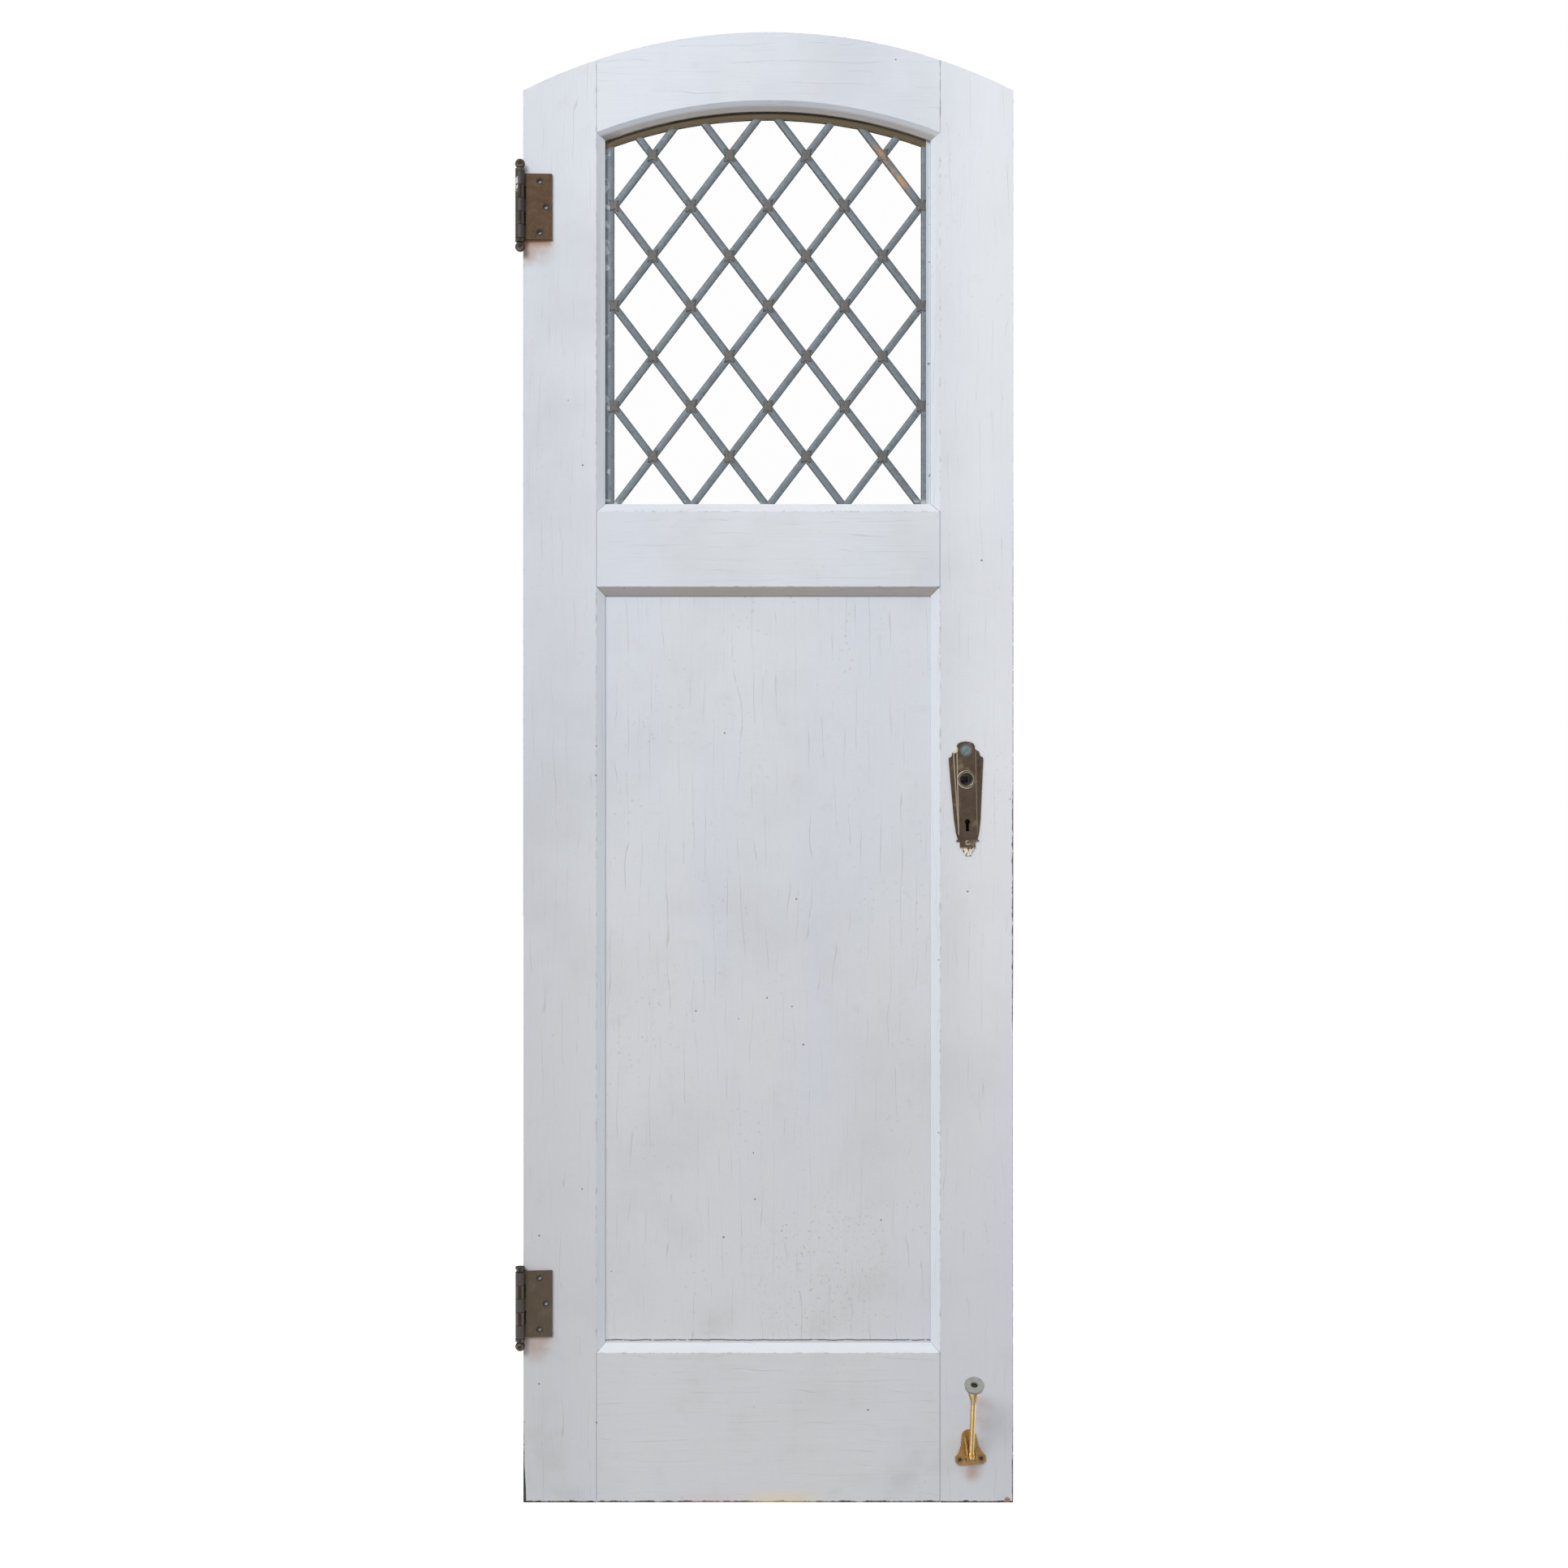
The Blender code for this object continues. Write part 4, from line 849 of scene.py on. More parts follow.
def add_screw_head(shape, place, axis, radius, slot_turn, dome):
    """A slotted screw head that stands a little proud of its place."""
    earlier = set(shape.verts)
    profile = [(0, dome), (radius * 0.5, dome * 0.82), (radius * 0.85, dome * 0.35),
               (radius, 0.0), (radius * 0.9, -SCREW_HEAD_DEPTH), (0, -SCREW_HEAD_DEPTH)]
    add_turned(shape, profile, Matrix.Identity(4), 24)
    head = [vert for vert in shape.verts if vert not in earlier]
    bmesh.ops.remove_doubles(shape, verts=head, dist=0.000002)
    head = [vert for vert in shape.verts if vert not in earlier]
    half_slot = radius * 0.14
    for side in (-half_slot, half_slot):
        geom = list({item for vert in head if vert.is_valid
                     for item in (vert, *vert.link_edges, *vert.link_faces)})
        bmesh.ops.bisect_plane(shape, geom=geom, dist=0.0000005, plane_co=(side, 0, 0),
                               plane_no=(1, 0, 0))
        head = [vert for vert in shape.verts if vert not in earlier]
    for vert in head:
        if abs(vert.co.x) < half_slot * 0.5 and vert.co.z > -0.0005:
            vert.co.z -= SCREW_SLOT_DEPTH
    floor = {face for vert in head for face in vert.link_faces
             if abs(face.calc_center_median().x) < half_slot * 0.9
             and face.calc_center_median().z > -0.0008}
    sunk = bmesh.ops.extrude_face_region(shape, geom=list(floor))["geom"]
    bmesh.ops.delete(shape, geom=[face for face in floor if face.is_valid],
                     context='FACES_ONLY')
    for item in sunk:
        if isinstance(item, bmesh.types.BMVert):
            item.co.z = min(item.co.z, 0.0) - SCREW_SLOT_DEPTH
    head = [vert for vert in shape.verts if vert not in earlier]
    place_it = Matrix.Translation(place) @ aim(axis, slot_turn)
    bmesh.ops.transform(shape, matrix=place_it, verts=head)


def arch_points(radius, x_from, x_to, steps=48):
    """Points of an arch about the door's arch centre."""
    start, end = asin(x_from / radius), asin(x_to / radius)
    turns = [start + (end - start) * i / steps for i in range(steps + 1)]
    return [Vector((radius * sin(t), ARCH_CENTRE_Z + radius * cos(t))) for t in turns]


def border_outline(grow):
    """The lead border's sight line, let out by an amount."""
    half, floor = BORDER_HALF + grow, BORDER_FLOOR - grow
    return [Vector((-half, floor)), Vector((half, floor))] + arch_points(
        BORDER_RADIUS + grow, half, -half)


def lattice_lines():
    """Start and end of each straight came, from border to border."""
    border = border_outline(0.002)
    far = 1.2 * BORDER_HALF
    lines = []
    for hand in (1, -1):
        for start_row in range(-2, 12, 2):
            middle = LATTICE_FLOOR + start_row * DIAMOND_HALF_HEIGHT
            ends = [Vector((x, middle + hand * LATTICE_SLOPE * x)) for x in (-far, far)]
            met = []
            for a, b in zip(border, border[1:] + border[:1]):
                point = intersect_line_line_2d(ends[0], ends[1], a, b)
                if point is not None:
                    met.append(point)
            if len(met) >= 2 and (met[0] - met[-1]).length > 0.02:
                lines.append((met[0], met[-1]))
    return lines


def crossings():
    """Where the straight cames cross inside the border."""
    found = []
    for row in range(1, TOP_ROW + 1):
        for column in range(-SIDE_COLUMN, SIDE_COLUMN + 1):
            if (row + column) % 2 == 0:
                x = column * DIAMOND_HALF_WIDTH
                z = LATTICE_FLOOR + row * DIAMOND_HALF_HEIGHT
                top = ARCH_CENTRE_Z + sqrt(BORDER_RADIUS ** 2 - x ** 2)
                if z < top - 0.004:
                    found.append((x, z))
    return found


def add_came(shape, path, half, crown, y, facing):
    """A rounded strip of lead along a path of points in XZ."""
    across_steps = 8
    turns = [pi * i / across_steps - pi / 2 for i in range(across_steps + 1)]
    rows = []
    for index, point in enumerate(path):
        before, after = path[max(index - 1, 0)], path[min(index + 1, len(path) - 1)]
        along = (after - before).normalized()
        side = Vector((-along.y, along.x))
        push = noise.noise(Vector((point.x * 40, point.y * 40, y * 90))) * CAME_WOBBLE
        row = []
        for turn in turns:
            flat = point + side * (half * sin(turn) + push)
            depth = y + facing * (crown * cos(turn) - 0.0002)
            row.append(shape.verts.new(Vector((flat.x, depth, flat.y)) + ORIGIN))
        rows.append(row)
    edges = [shape.edges.new(pair) for row in rows for pair in zip(row, row[1:])]
    for index in range(len(rows) - 1):
        pair = edges[index * across_steps:(index + 2) * across_steps]
        bmesh.ops.bridge_loops(shape, edges=pair)


def stepped(start, end):
    """Points along a straight line, each about a step from the last."""
    count = max(2, round((end - start).length / CAME_STEP))
    return [start.lerp(end, i / count) for i in range(count + 1)]


def add_solder(shape, x, z, radius, y, facing, seed):
    """A flat uneven blob of solder over a joint."""
    made = bmesh.ops.create_icosphere(shape, subdivisions=3, radius=1.0)["verts"]
    arm = atan2(DIAMOND_HALF_HEIGHT, DIAMOND_HALF_WIDTH)
    for vert in made:
        out = 1 + 0.20 * noise.noise(vert.co * 1.7 + Vector((seed * 3.1, seed, 0)))
        turn = abs(atan2(vert.co.z, abs(vert.co.x)))
        reach = noise.noise(Vector((seed * 1.7, vert.co.x > 0, vert.co.z > 0))) * 0.35
        arms = (0.95 + reach) * exp(-((turn - arm) / 0.32) ** 2)
        flat = radius * out * (1 + arms)
        lift = 1 - (1 - abs(vert.co.y)) ** 3
        depth = facing * 0.0021 * (lift if vert.co.y > 0 else -lift)
        vert.co = Vector((x + vert.co.x * flat, y + depth, z + vert.co.z * flat)) + ORIGIN


# Operators

class PaintJoinery(Operator):
    """Round the edges of the door's boards and give them their old white paint"""

    bl_idname = "front_door.paint_joinery"
    bl_label = "Paint the joinery"

    def execute(self, context):
        settings = context.scene.door_paint
        for node, grain in PAINTED.items():
            shape = rounded_copy(node, settings.round_edge, 0.012)
            material = old_paint(f"{node}_paint", grain, node == "panel")
            piece = new_piece(f"{node}_painted", shape, material, "door", [node])
            add_weighted_normals(piece)
        return {'FINISHED'}


class GlazeLight(Operator):
    """Put the clear panes in the leaded light, with the four small ones under the arch"""

    bl_idname = "front_door.glaze_light"
    bl_label = "Glaze the light"

    def execute(self, context):
        glass = clear_glass()
        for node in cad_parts:
            if node.startswith("pane_"):
                paint_node(node, glass)
        for column in (-3, -1, 1, 3):
            shape = bmesh.new()
            self.add_small_pane(shape, column)
            new_piece(f"pane_row8_column{column + SIDE_COLUMN}", shape, glass, "door")
        return {'FINISHED'}

    def add_small_pane(self, shape, column):
        """The foot of a diamond, cut off by the arch."""
        x = column * DIAMOND_HALF_WIDTH
        foot = LATTICE_FLOOR + TOP_ROW * DIAMOND_HALF_HEIGHT + 0.0014
        radius = BORDER_RADIUS + 0.0042
        edge = {}
        for hand in (-1, 1):
            low, high = 0.0, 0.08
            for _ in range(30):
                reach = (low + high) / 2
                rise = foot + LATTICE_SLOPE * reach - ARCH_CENTRE_Z
                inside = hypot(x + hand * reach, rise) < radius
                low, high = (reach, high) if inside else (low, reach)
            edge[hand] = x + hand * low
        top = arch_points(radius, edge[1], edge[-1], 8)
        middle = (CAME_FRONT + CAME_BACK) / 2
        front = middle - PANE_THICKNESS / 2
        corners = [Vector((x, foot))] + top
        verts = [shape.verts.new(Vector((c.x, front, c.y)) + ORIGIN) for c in corners]
        face = shape.faces.new(verts)
        made = bmesh.ops.extrude_face_region(shape, geom=[face])["geom"]
        moved = [item for item in made if isinstance(item, bmesh.types.BMVert)]
        bmesh.ops.translate(shape, vec=(0, PANE_THICKNESS, 0), verts=moved)


class LeadLight(Operator):
    """Lay the rounded came faces and the soldered joints over the lattice, front and back"""

    bl_idname = "front_door.lead_light"
    bl_label = "Lead the light"

    def execute(self, context):
        settings = context.scene.door_light
        lead = lead_finish("weathered_lead", settings.lead, 0.5)
        solder = lead_finish("old_solder", settings.solder, 0.8)
        paint_node("lead_came", lead)
        half, crown = settings.came_half, settings.crown
        for word, y, facing in (("front", CAME_FRONT, -1), ("back", CAME_BACK, 1)):
            shape = bmesh.new()
            for start, end in lattice_lines():
                add_came(shape, stepped(start, end), half, crown, y, facing)
            new_piece(f"came_faces_{word}", shape, lead, "door", smooth=radians(80))
            shape = bmesh.new()
            loop = border_outline(half)
            path = stepped(loop[-1], loop[0]) + stepped(loop[0], loop[1])[1:]
            path += stepped(loop[1], loop[2])[1:] + loop[3:]
            add_came(shape, path, half, crown * 0.9, y, facing)
            new_piece(f"border_face_{word}", shape, lead, "door", smooth=radians(80))
            shape = bmesh.new()
            for seed, (x, z) in enumerate(crossings()):
                inside = abs(x) < BORDER_HALF - 0.01
                add_solder(shape, x, z, settings.solder_radius * (1 if inside else 0.9), y,
                           facing, seed + 50 * facing)
            new_piece(f"solder_{word}", shape, solder, "door", smooth=radians(80))
        return {'FINISHED'}


class DressLock(Operator):
    """Finish the lock plates, their collars and screws, the lock and its bolt"""

    bl_idname = "front_door.dress_lock"
    bl_label = "Dress the lock"

    def execute(self, context):
        metal = context.scene.door_metal
        bronze = old_metal("worn_bronze", tuple(metal.bronze), tuple(metal.bronze_worn_and_highlight),
                           shine=0.35, marks=((screen(36, 30, 26), plate_groove_dirt_and_shade),
                                              (screen(176, 162, 134), plate_ridge_highlights),
                                              (screen(132, 150, 158), plate_bloom),
                                              (screen(232, 224, 206), plate_paint)))
        collar = old_metal("collar_bronze", screen(104, 92, 78), screen(236, 226, 206),
                           rough=0.25, shine=0.8, marks=((screen(40, 34, 29), collar_shade),))
        heads = old_metal("plate_screws", screen(92, 84, 70), screen(206, 196, 170),
                          shine=0.5, marks=((screen(74, 116, 130), upper_head),))
        iron = old_metal("dark_iron", tuple(metal.iron), screen(130, 126, 120))
        for word, y, facing in (("front", 0.0, -1), ("back", DOOR_THICKNESS, 1)):
            self.dress_plate(word, y, facing, bronze, collar, heads)
        self.fill_ways(iron)
        shape = rounded_copy("mortise_lock", 0.0004, 0.004)
        new_piece("mortise_lock_dressed", shape, iron, "door", ["mortise_lock"])
        shape = rounded_copy("latch_bolt", 0.0008, 0.004, 3)
        new_piece("latch_bolt_dressed", shape, iron, "bolt", ["latch_bolt"])
        shape = bmesh.new()
        for step in (-1, 1):
            centre = Vector((HALF_WIDTH, DOOR_THICKNESS / 2, LOCK_CASE_Z
                             + step * FACEPLATE_SCREW_REACH)) + ORIGIN
            add_screw_head(shape, centre, (1, 0, 0), 0.0038, 0.6 * step, 0.0003)
        new_piece("faceplate_screws", shape, iron, "door")
        return {'FINISHED'}

    def dress_plate(self, word, y, facing, bronze, collar, heads):
        """One lock plate with its side steps, knob collar and two screws."""
        node = f"{word}_lock_plate"
        shape = rounded_copy(node, 0.0006, 0.0012)
        plate = new_piece(f"{node}_dressed", shape, bronze, "door", [node])
        add_weighted_normals(plate)
        place = Matrix.Translation(ORIGIN + Vector((LOCK_X, y, KNOB_Z)))
        place = place @ Matrix.Rotation(-PLATE_TILT, 4, 'Y') @ aim((0, facing, 0))
        place = place @ Matrix.Rotation(pi if facing > 0 else 0, 4, 'Z')
        shape = bmesh.new()
        for hand in (-1, 1):
            self.add_side_step(shape, hand)
        bmesh.ops.transform(shape, matrix=place, verts=shape.verts)
        new_piece(f"lock_plate_steps_{word}", shape, bronze, "door")
        shape = bmesh.new()
        inner, outer = KNOB_HOLE_RADIUS + 0.0001, KNOB_COLLAR_RADIUS + 0.0003
        profile = rounded_profile(
            [(inner, PLATE_FACE), (inner, COLLAR_FACE + 0.0002),
             (outer, COLLAR_FACE + 0.0001), (outer + 0.0004, PLATE_FACE)], 0.0008)
        add_turned(shape, profile, place, 48)
        new_piece(f"knob_collar_{word}", shape, collar, "door")
        shape = bmesh.new()
        for above, face, turn in PLATE_SCREWS:
            centre = place @ Vector((0, 0, face - 0.0001))
            centre += Matrix.Rotation(-PLATE_TILT, 3, 'Y') @ Vector((0, 0, above))
            add_screw_head(shape, centre, (0, facing, 0), 0.0034, turn, 0.0010)
        new_piece(f"lock_plate_screws_{word}", shape, heads, "door")

    def fill_ways(self, iron):
        """The follower behind the knob's hole and the lever behind the keyhole."""
        centre = Vector((LOCK_X, DOOR_THICKNESS / 2, KNOB_Z)) + ORIGIN
        shape = bmesh.new()
        profile = [(0, 0.0012), (0.0030, 0.0012), (0.0036, 0.0004), (0.0062, 0.0004),
                   (0.0062, -0.0004), (0, -0.0004)]
        add_turned(shape, profile, Matrix.Translation(centre) @ aim((0, -1, 0)), 24)
        new_piece("lock_follower", shape, iron, "door")
        shape = bmesh.new()
        profile = rounded_profile([(0, 0.0006), (0.0105, 0.0006), (0.0105, -0.0006),
                                   (0, -0.0006)], 0.0003)
        below = Matrix.Translation((KEYHOLE_SHIFT, 0, -KEYHOLE_DROP - 0.0002))
        add_turned(shape, profile, Matrix.Translation(centre) @ below @ aim((0, -1, 0)), 32)
        new_piece("lock_lever", shape, iron, "door")

    def add_side_step(self, shape, hand):
        """The lower step beside the plate's raised middle."""
        corners = [(0.0130, 0.0385), (0.0168, 0.0372), (0.0180, 0.0330), (0.0176, 0.0000),
                   (0.0158, -0.0400), (0.0138, -0.0720), (0.0130, -0.0760)]
        verts = [shape.verts.new((hand * across, up, PLATE_FACE - 0.0002))
                 for across, up in corners]
        face = shape.faces.new(verts)
        made = bmesh.ops.extrude_face_region(shape, geom=[face])["geom"]
        top = [item for item in made if isinstance(item, bmesh.types.BMVert)]
        bmesh.ops.translate(shape, vec=(0, 0, 0.0007), verts=top)
        rims = [item for item in made if isinstance(item, bmesh.types.BMEdge)]
        bmesh.ops.bevel(shape, geom=rims, offset=0.0004, segments=2, profile=0.5,
                        affect='EDGES', material=-1, clamp_overlap=True)


class DressHinges(Operator):
    """Finish the hinge leaves and pins and put the screws in the door leaves"""

    bl_idname = "front_door.dress_hinges"
    bl_label = "Dress the hinges"

    def execute(self, context):
        metal = context.scene.door_metal
        # The worn colour is also the painted highlight on the leaves' edges.
        leaf_worn_and_highlight = screen(138, 112, 86)
        scraps = (screen(222, 224, 222), barrel_paint)
        leaf = old_metal("brown_brass", tuple(metal.leaf), leaf_worn_and_highlight, shine=0.3,
                         marks=((screen(62, 54, 34), low_leaf), (screen(38, 31, 27), hole_rings),
                                (tuple(metal.barrel), barrel_share), scraps))
        barrel = old_metal("dark_bronze", tuple(metal.barrel), screen(124, 112, 100),
                           marks=(scraps,))
        screws = bmesh.new()
        for hinge, height in HINGE_HEIGHTS.items():
            body = hinge.replace("hinge", "jamb_leaf")
            node = f"{hinge}_jamb_leaf"
            shape = rounded_copy(node, 0.0004, 0.0012)
            piece = new_piece(f"{node}_dressed", shape, leaf, body, [node])
            add_weighted_normals(piece)
            node = f"{hinge}_door_leaf"
            shape = rounded_copy(node, 0.0003, 0.0012)
            piece = new_piece(f"{node}_dressed", shape, barrel, "door", [node])
            add_weighted_normals(piece)
            node = f"{hinge}_pin"
            shape = bmesh.new()
            profile = self.pin_profile(hinge == "upper_hinge")
            place = Matrix.Translation((0, 0, height + ORIGIN.z))
            add_turned(shape, profile, place, 48)
            new_piece(f"{node}_turned", shape, barrel, "door", [node])
            for step, reach in LEAF_SCREWS:
                up = height + ORIGIN.z + step * LEAF_SCREW_STEP
                centre = Vector((HINGE_FACE_X + 0.0001, reach, up))
                add_screw_head(screws, centre, (-1, 0, 0), 0.0043, step + 0.4, 0.0002)
        new_piece("door_leaf_screws", screws, barrel, "door")
        return {'FINISHED'}

    def ball_end(self):
        """Collar, neck and ball above the barrel, from the ball's top down."""
        foot, radius = HINGE_HALF + 0.0003, 0.0066
        top = foot + 0.0046
        lowest = asin(0.0038 / radius)
        ball_z = top + 0.0010 + radius * cos(lowest)
        turns = [(pi - lowest) * i / 14 for i in range(15)]
        ball = [(radius * sin(t), ball_z + radius * cos(t)) for t in turns]
        ball[0] = (0.0, ball_z + radius)
        collar = rounded_profile([(0.0038, top), (BARREL_RADIUS, top), (BARREL_RADIUS, foot),
                                  (0.003, foot)], 0.0007)
        return ball + collar

    def pin_profile(self, whole):
        """The pin from top to bottom, with a worn button in place of a lost upper ball."""
        low = [(radius, -height) for radius, height in self.ball_end()][::-1]
        if whole:
            return self.ball_end() + low
        foot = HINGE_HALF + 0.0003
        top = foot + 0.0068
        button = rounded_profile([(0.0, top), (0.0064, top), (0.0064, top - 0.0036),
                                  (0.0052, top - 0.0036), (0.0052, foot), (0.003, foot)], 0.0009)
        return button + low


class DressHolder(Operator):
    """Finish the door holder: bracket, screws, arm and rubber tip"""

    bl_idname = "front_door.dress_holder"
    bl_label = "Dress the door holder"

    def execute(self, context):
        metal = context.scene.door_metal
        brass = old_metal("polished_brass", tuple(metal.brass), screen(238, 212, 150), 1.0,
                          0.16, 0.4, marks=((screen(96, 66, 22), brass_reflection_and_shade),
                                            (screen(70, 44, 20), ear_dirt)))
        rubber = self.rubber(tuple(metal.rubber))
        dark = old_metal("dark_screws", screen(70, 56, 40), screen(120, 100, 70))
        shape = rounded_copy("door_holder_bracket", 0.0003, 0.0045)
        piece = new_piece("door_holder_bracket_dressed", shape, brass, "door",
                          ["door_holder_bracket"])
        add_weighted_normals(piece)
        bracket = Matrix.Translation(HOLDER_PIVOT + ORIGIN)
        bracket = bracket @ Matrix.Rotation(-HOLDER_TILT, 4, 'Y')
        across, out, up = BRACKET_SCREW
        shape = bmesh.new()
        for hand in (-1, 1):
            centre = bracket @ Vector((hand * across, out, up))
            add_screw_head(shape, centre, (0, -1, 0), 0.0027, 0.7 * hand, 0.0006)
        new_piece("door_holder_screws", shape, dark, "door")
        place = bracket @ Matrix.Rotation(HOLDER_LEAN, 4, 'X')
        self.dress_arm(place, brass)
        self.dress_tip(place, rubber)
        return {'FINISHED'}

    def dress_arm(self, place, brass):
        """The arm: its eye as in the CAD, then a turned rod that swells to a cup."""
        shape = bmesh.new()
        shape.from_mesh(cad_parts["door_holder_arm"].data)
        bmesh.ops.remove_doubles(shape, verts=shape.verts, dist=0.00001)
        bmesh.ops.transform(shape, matrix=place.inverted(), verts=shape.verts)
        bmesh.ops.bisect_plane(
            shape, geom=[*shape.verts, *shape.edges, *shape.faces], dist=0.000001,
            plane_co=(0, 0, ARM_EYE_END), plane_no=(0, 0, 1), clear_outer=True)
        bmesh.ops.transform(shape, matrix=place, verts=shape.verts)
        foot, rim = ARM_LENGTH - ARM_CUP_LENGTH, ARM_LENGTH - 0.002
        flare = ARM_CUP_RADIUS - ARM_RADIUS
        swell = [(ARM_RADIUS + flare * s * s * (3 - 2 * s), foot + s * (rim - foot))
                 for s in [1 - i / 14 for i in range(15)]]
        cup = rounded_profile(
            [(0.0006, ARM_LENGTH), (ARM_CUP_RADIUS, ARM_LENGTH), (ARM_CUP_RADIUS, rim)], 0.0006)
        start = ARM_EYE_END + 0.0001
        profile = [(0, ARM_LENGTH)] + cup + swell[1:] + [(ARM_RADIUS, start), (0, start)]
        add_turned(shape, profile, place, 48)
        new_piece("door_holder_arm_dressed", shape, brass, "holder_arm",
                  ["door_holder_arm"])

    def dress_tip(self, place, rubber):
        """The rubber tip and the screw in its hole."""
        seat = ARM_LENGTH + 0.0003
        end = seat + TIP_THICKNESS
        floor = end - TIP_HOLE_DEPTH
        profile = rounded_profile(
            [(0, floor), (TIP_HOLE_RADIUS, floor), (TIP_HOLE_RADIUS, end), (TIP_RADIUS, end),
             (TIP_RADIUS - 0.001, seat), (0, seat)], 0.0009, 4)
        shape = bmesh.new()
        add_turned(shape, profile, place, 56)
        new_piece("door_holder_tip_dressed", shape, rubber, "holder_arm",
                  ["door_holder_tip"])
        shape = bmesh.new()
        axis = place.to_3x3() @ Vector((0, 0, 1))
        add_screw_head(shape, place @ Vector((0, 0, floor + 0.0010)), axis, 0.0041, 0.5, 0.0004)
        steel = old_metal("dark_steel", screen(46, 46, 45), screen(84, 84, 82), 0.6)
        new_piece("door_holder_tip_screw", shape, steel, "holder_arm")

    def rubber(self, colour):
        """Aged grey rubber."""
        finish = Finish("grey_rubber")
        cloud = finish.noise(140, 4.0, 0.6)
        fine = finish.noise(1100, 3.0, 0.6)
        mixed = finish.mix(cloud.step(0.4, 0.7) * 0.5, colour, tuple(c * 0.6 for c in colour))
        mixed = finish.mix(fine.step(0.6, 0.75) * 0.4, mixed, tuple(c * 0.4 for c in colour))
        finish.set(Base_Color=mixed, Roughness=0.6 + cloud * 0.25)
        finish.relief((cloud - 0.5) * 0.0004 + (fine - 0.5) * 0.0001)
        return finish.material


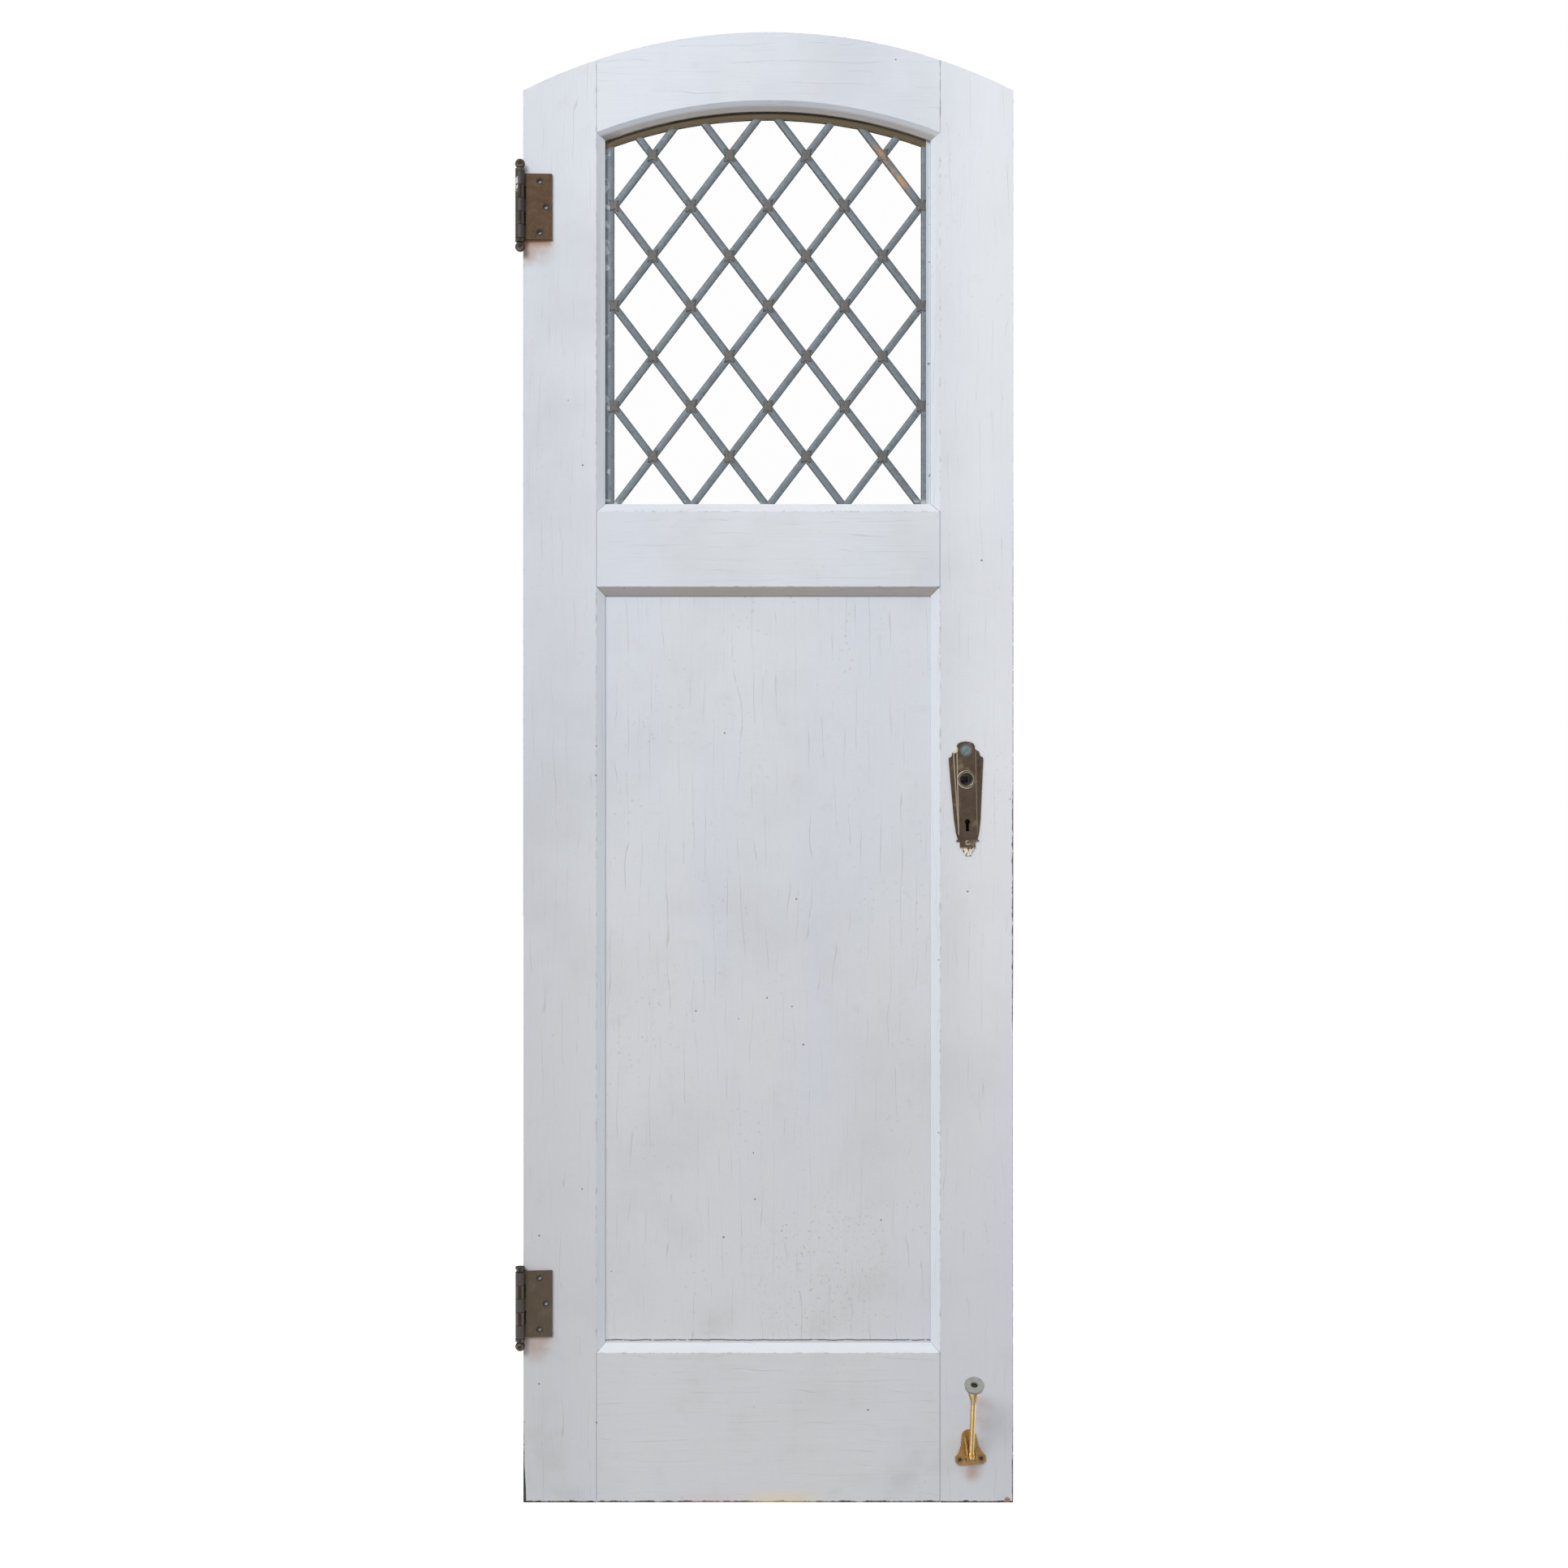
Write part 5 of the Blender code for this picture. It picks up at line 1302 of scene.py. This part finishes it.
class SetStage(Operator):
    """Set the floor, the lights and the camera"""

    bl_idname = "front_door.set_stage"
    bl_label = "Set the stage"

    def execute(self, context):
        settings = context.scene.door_stage
        scene = context.scene
        scene.view_settings.view_transform = 'Standard'
        self.make_floor(tuple(settings.floor))
        self.make_room(scene, settings.room)
        self.add_light("key_light", (-2.9, -7.2, 5.6), settings.key)
        self.add_light("back_light", (3.4, 6.0, 4.4), settings.key * 0.75)
        data = bpy.data.cameras.new("photo_camera")
        data.lens = settings.lens
        data.sensor_width = 36.0
        data.shift_x = 0.060
        data.shift_y = 0.0096
        camera = bpy.data.objects.new("photo_camera", data)
        camera.location = (CAMERA_ACROSS, ORIGIN.y - settings.distance, CAMERA_UP)
        camera.rotation_euler = (pi / 2, 0, 0)
        scene.collection.objects.link(camera)
        scene.camera = camera
        return {'FINISHED'}

    def make_floor(self, colour):
        """A plain pale floor, low enough for the door holder to swing clear of it."""
        shape = bmesh.new()
        bmesh.ops.create_grid(shape, x_segments=1, y_segments=1, size=14,
                              matrix=Matrix.Translation((0, 0, ORIGIN.z - FLOOR_DROP)))
        mesh = bpy.data.meshes.new("floor")
        shape.to_mesh(mesh)
        shape.free()
        floor = bpy.data.objects.new("floor", mesh)
        bpy.context.scene.collection.objects.link(floor)
        finish = Finish("pale_floor")
        finish.set(Base_Color=colour, Roughness=0.9, Emission_Color=(1.0, 1.0, 1.0),
                   Emission_Strength=0.62)
        mesh.materials.append(finish.material)
        floor.visible_diffuse = False

    def make_room(self, scene, strength):
        """White all round, dimmer for the light it gives than for the eye."""
        world = bpy.data.worlds.new("white_room")
        world.use_nodes = True
        tree = world.node_tree
        background = tree.nodes["Background"]
        path = tree.nodes.new('ShaderNodeLightPath')
        seen = tree.nodes.new('ShaderNodeMath')
        seen.operation = 'MAXIMUM'
        tree.links.new(path.outputs["Is Camera Ray"], seen.inputs[0])
        tree.links.new(path.outputs["Is Transmission Ray"], seen.inputs[1])
        way = tree.nodes.new('ShaderNodeTexCoord')
        up = tree.nodes.new('ShaderNodeSeparateXYZ')
        tree.links.new(way.outputs["Generated"], up.inputs[0])
        sky = tree.nodes.new('ShaderNodeMapRange')
        sky.inputs["From Min"].default_value = -1.0
        sky.inputs["To Min"].default_value = strength * 0.45
        sky.inputs["To Max"].default_value = strength * 1.55
        tree.links.new(up.outputs["Z"], sky.inputs["Value"])
        power = tree.nodes.new('ShaderNodeMapRange')
        power.inputs["To Max"].default_value = 1.0
        tree.links.new(sky.outputs[0], power.inputs["To Min"])
        tree.links.new(seen.outputs[0], power.inputs["Value"])
        tree.links.new(power.outputs[0], background.inputs["Strength"])
        background.inputs["Color"].default_value = (1.0, 1.0, 1.0, 1.0)
        scene.world = world

    def add_light(self, name, place, power):
        """A soft square light that is aimed at the door."""
        data = bpy.data.lights.new(name, 'AREA')
        data.size = LIGHT_SIZE
        data.energy = power
        light = bpy.data.objects.new(name, data)
        light.location = place
        direction = Vector(LIGHT_TARGET) - Vector(place)
        light.rotation_euler = direction.to_track_quat('-Z', 'Y').to_euler()
        bpy.context.scene.collection.objects.link(light)


class FrontDoorPanel(Panel):
    """The front door's steps and settings"""

    bl_idname = "VIEW3D_PT_front_door"
    bl_label = "Front Door"
    bl_space_type = 'VIEW_3D'
    bl_region_type = 'UI'
    bl_category = "Front Door"

    def draw(self, context):
        for step in STEPS:
            self.layout.operator(step.bl_idname)
        for group in SETTINGS:
            settings = getattr(context.scene, group)
            box = self.layout.box()
            for name in settings.__annotations__:
                box.prop(settings, name)


STEPS = (PaintJoinery, GlazeLight, LeadLight, DressLock, DressHinges, DressHolder, SetStage)
SETTINGS = {"door_paint": PaintSettings, "door_light": LightSettings,
            "door_metal": MetalSettings, "door_stage": StageSettings}


def register():
    """Register the settings, the steps and the panel."""
    for cls in (*SETTINGS.values(), *STEPS, FrontDoorPanel):
        bpy.utils.register_class(cls)
    for name, group in SETTINGS.items():
        setattr(bpy.types.Scene, name, PointerProperty(type=group))


def unregister():
    """Take them away again."""
    for name in SETTINGS:
        delattr(bpy.types.Scene, name)
    for cls in (FrontDoorPanel, *STEPS[::-1], *SETTINGS.values()):
        bpy.utils.unregister_class(cls)


def main():
    """Dress the door and set its stage."""
    register()
    bpy.ops.front_door.paint_joinery()
    bpy.ops.front_door.glaze_light()
    bpy.ops.front_door.lead_light()
    bpy.ops.front_door.dress_lock()
    bpy.ops.front_door.dress_hinges()
    bpy.ops.front_door.dress_holder()
    bpy.ops.front_door.set_stage()
    bpy.context.view_layer.update()


if __name__ == "__main__":
    main()
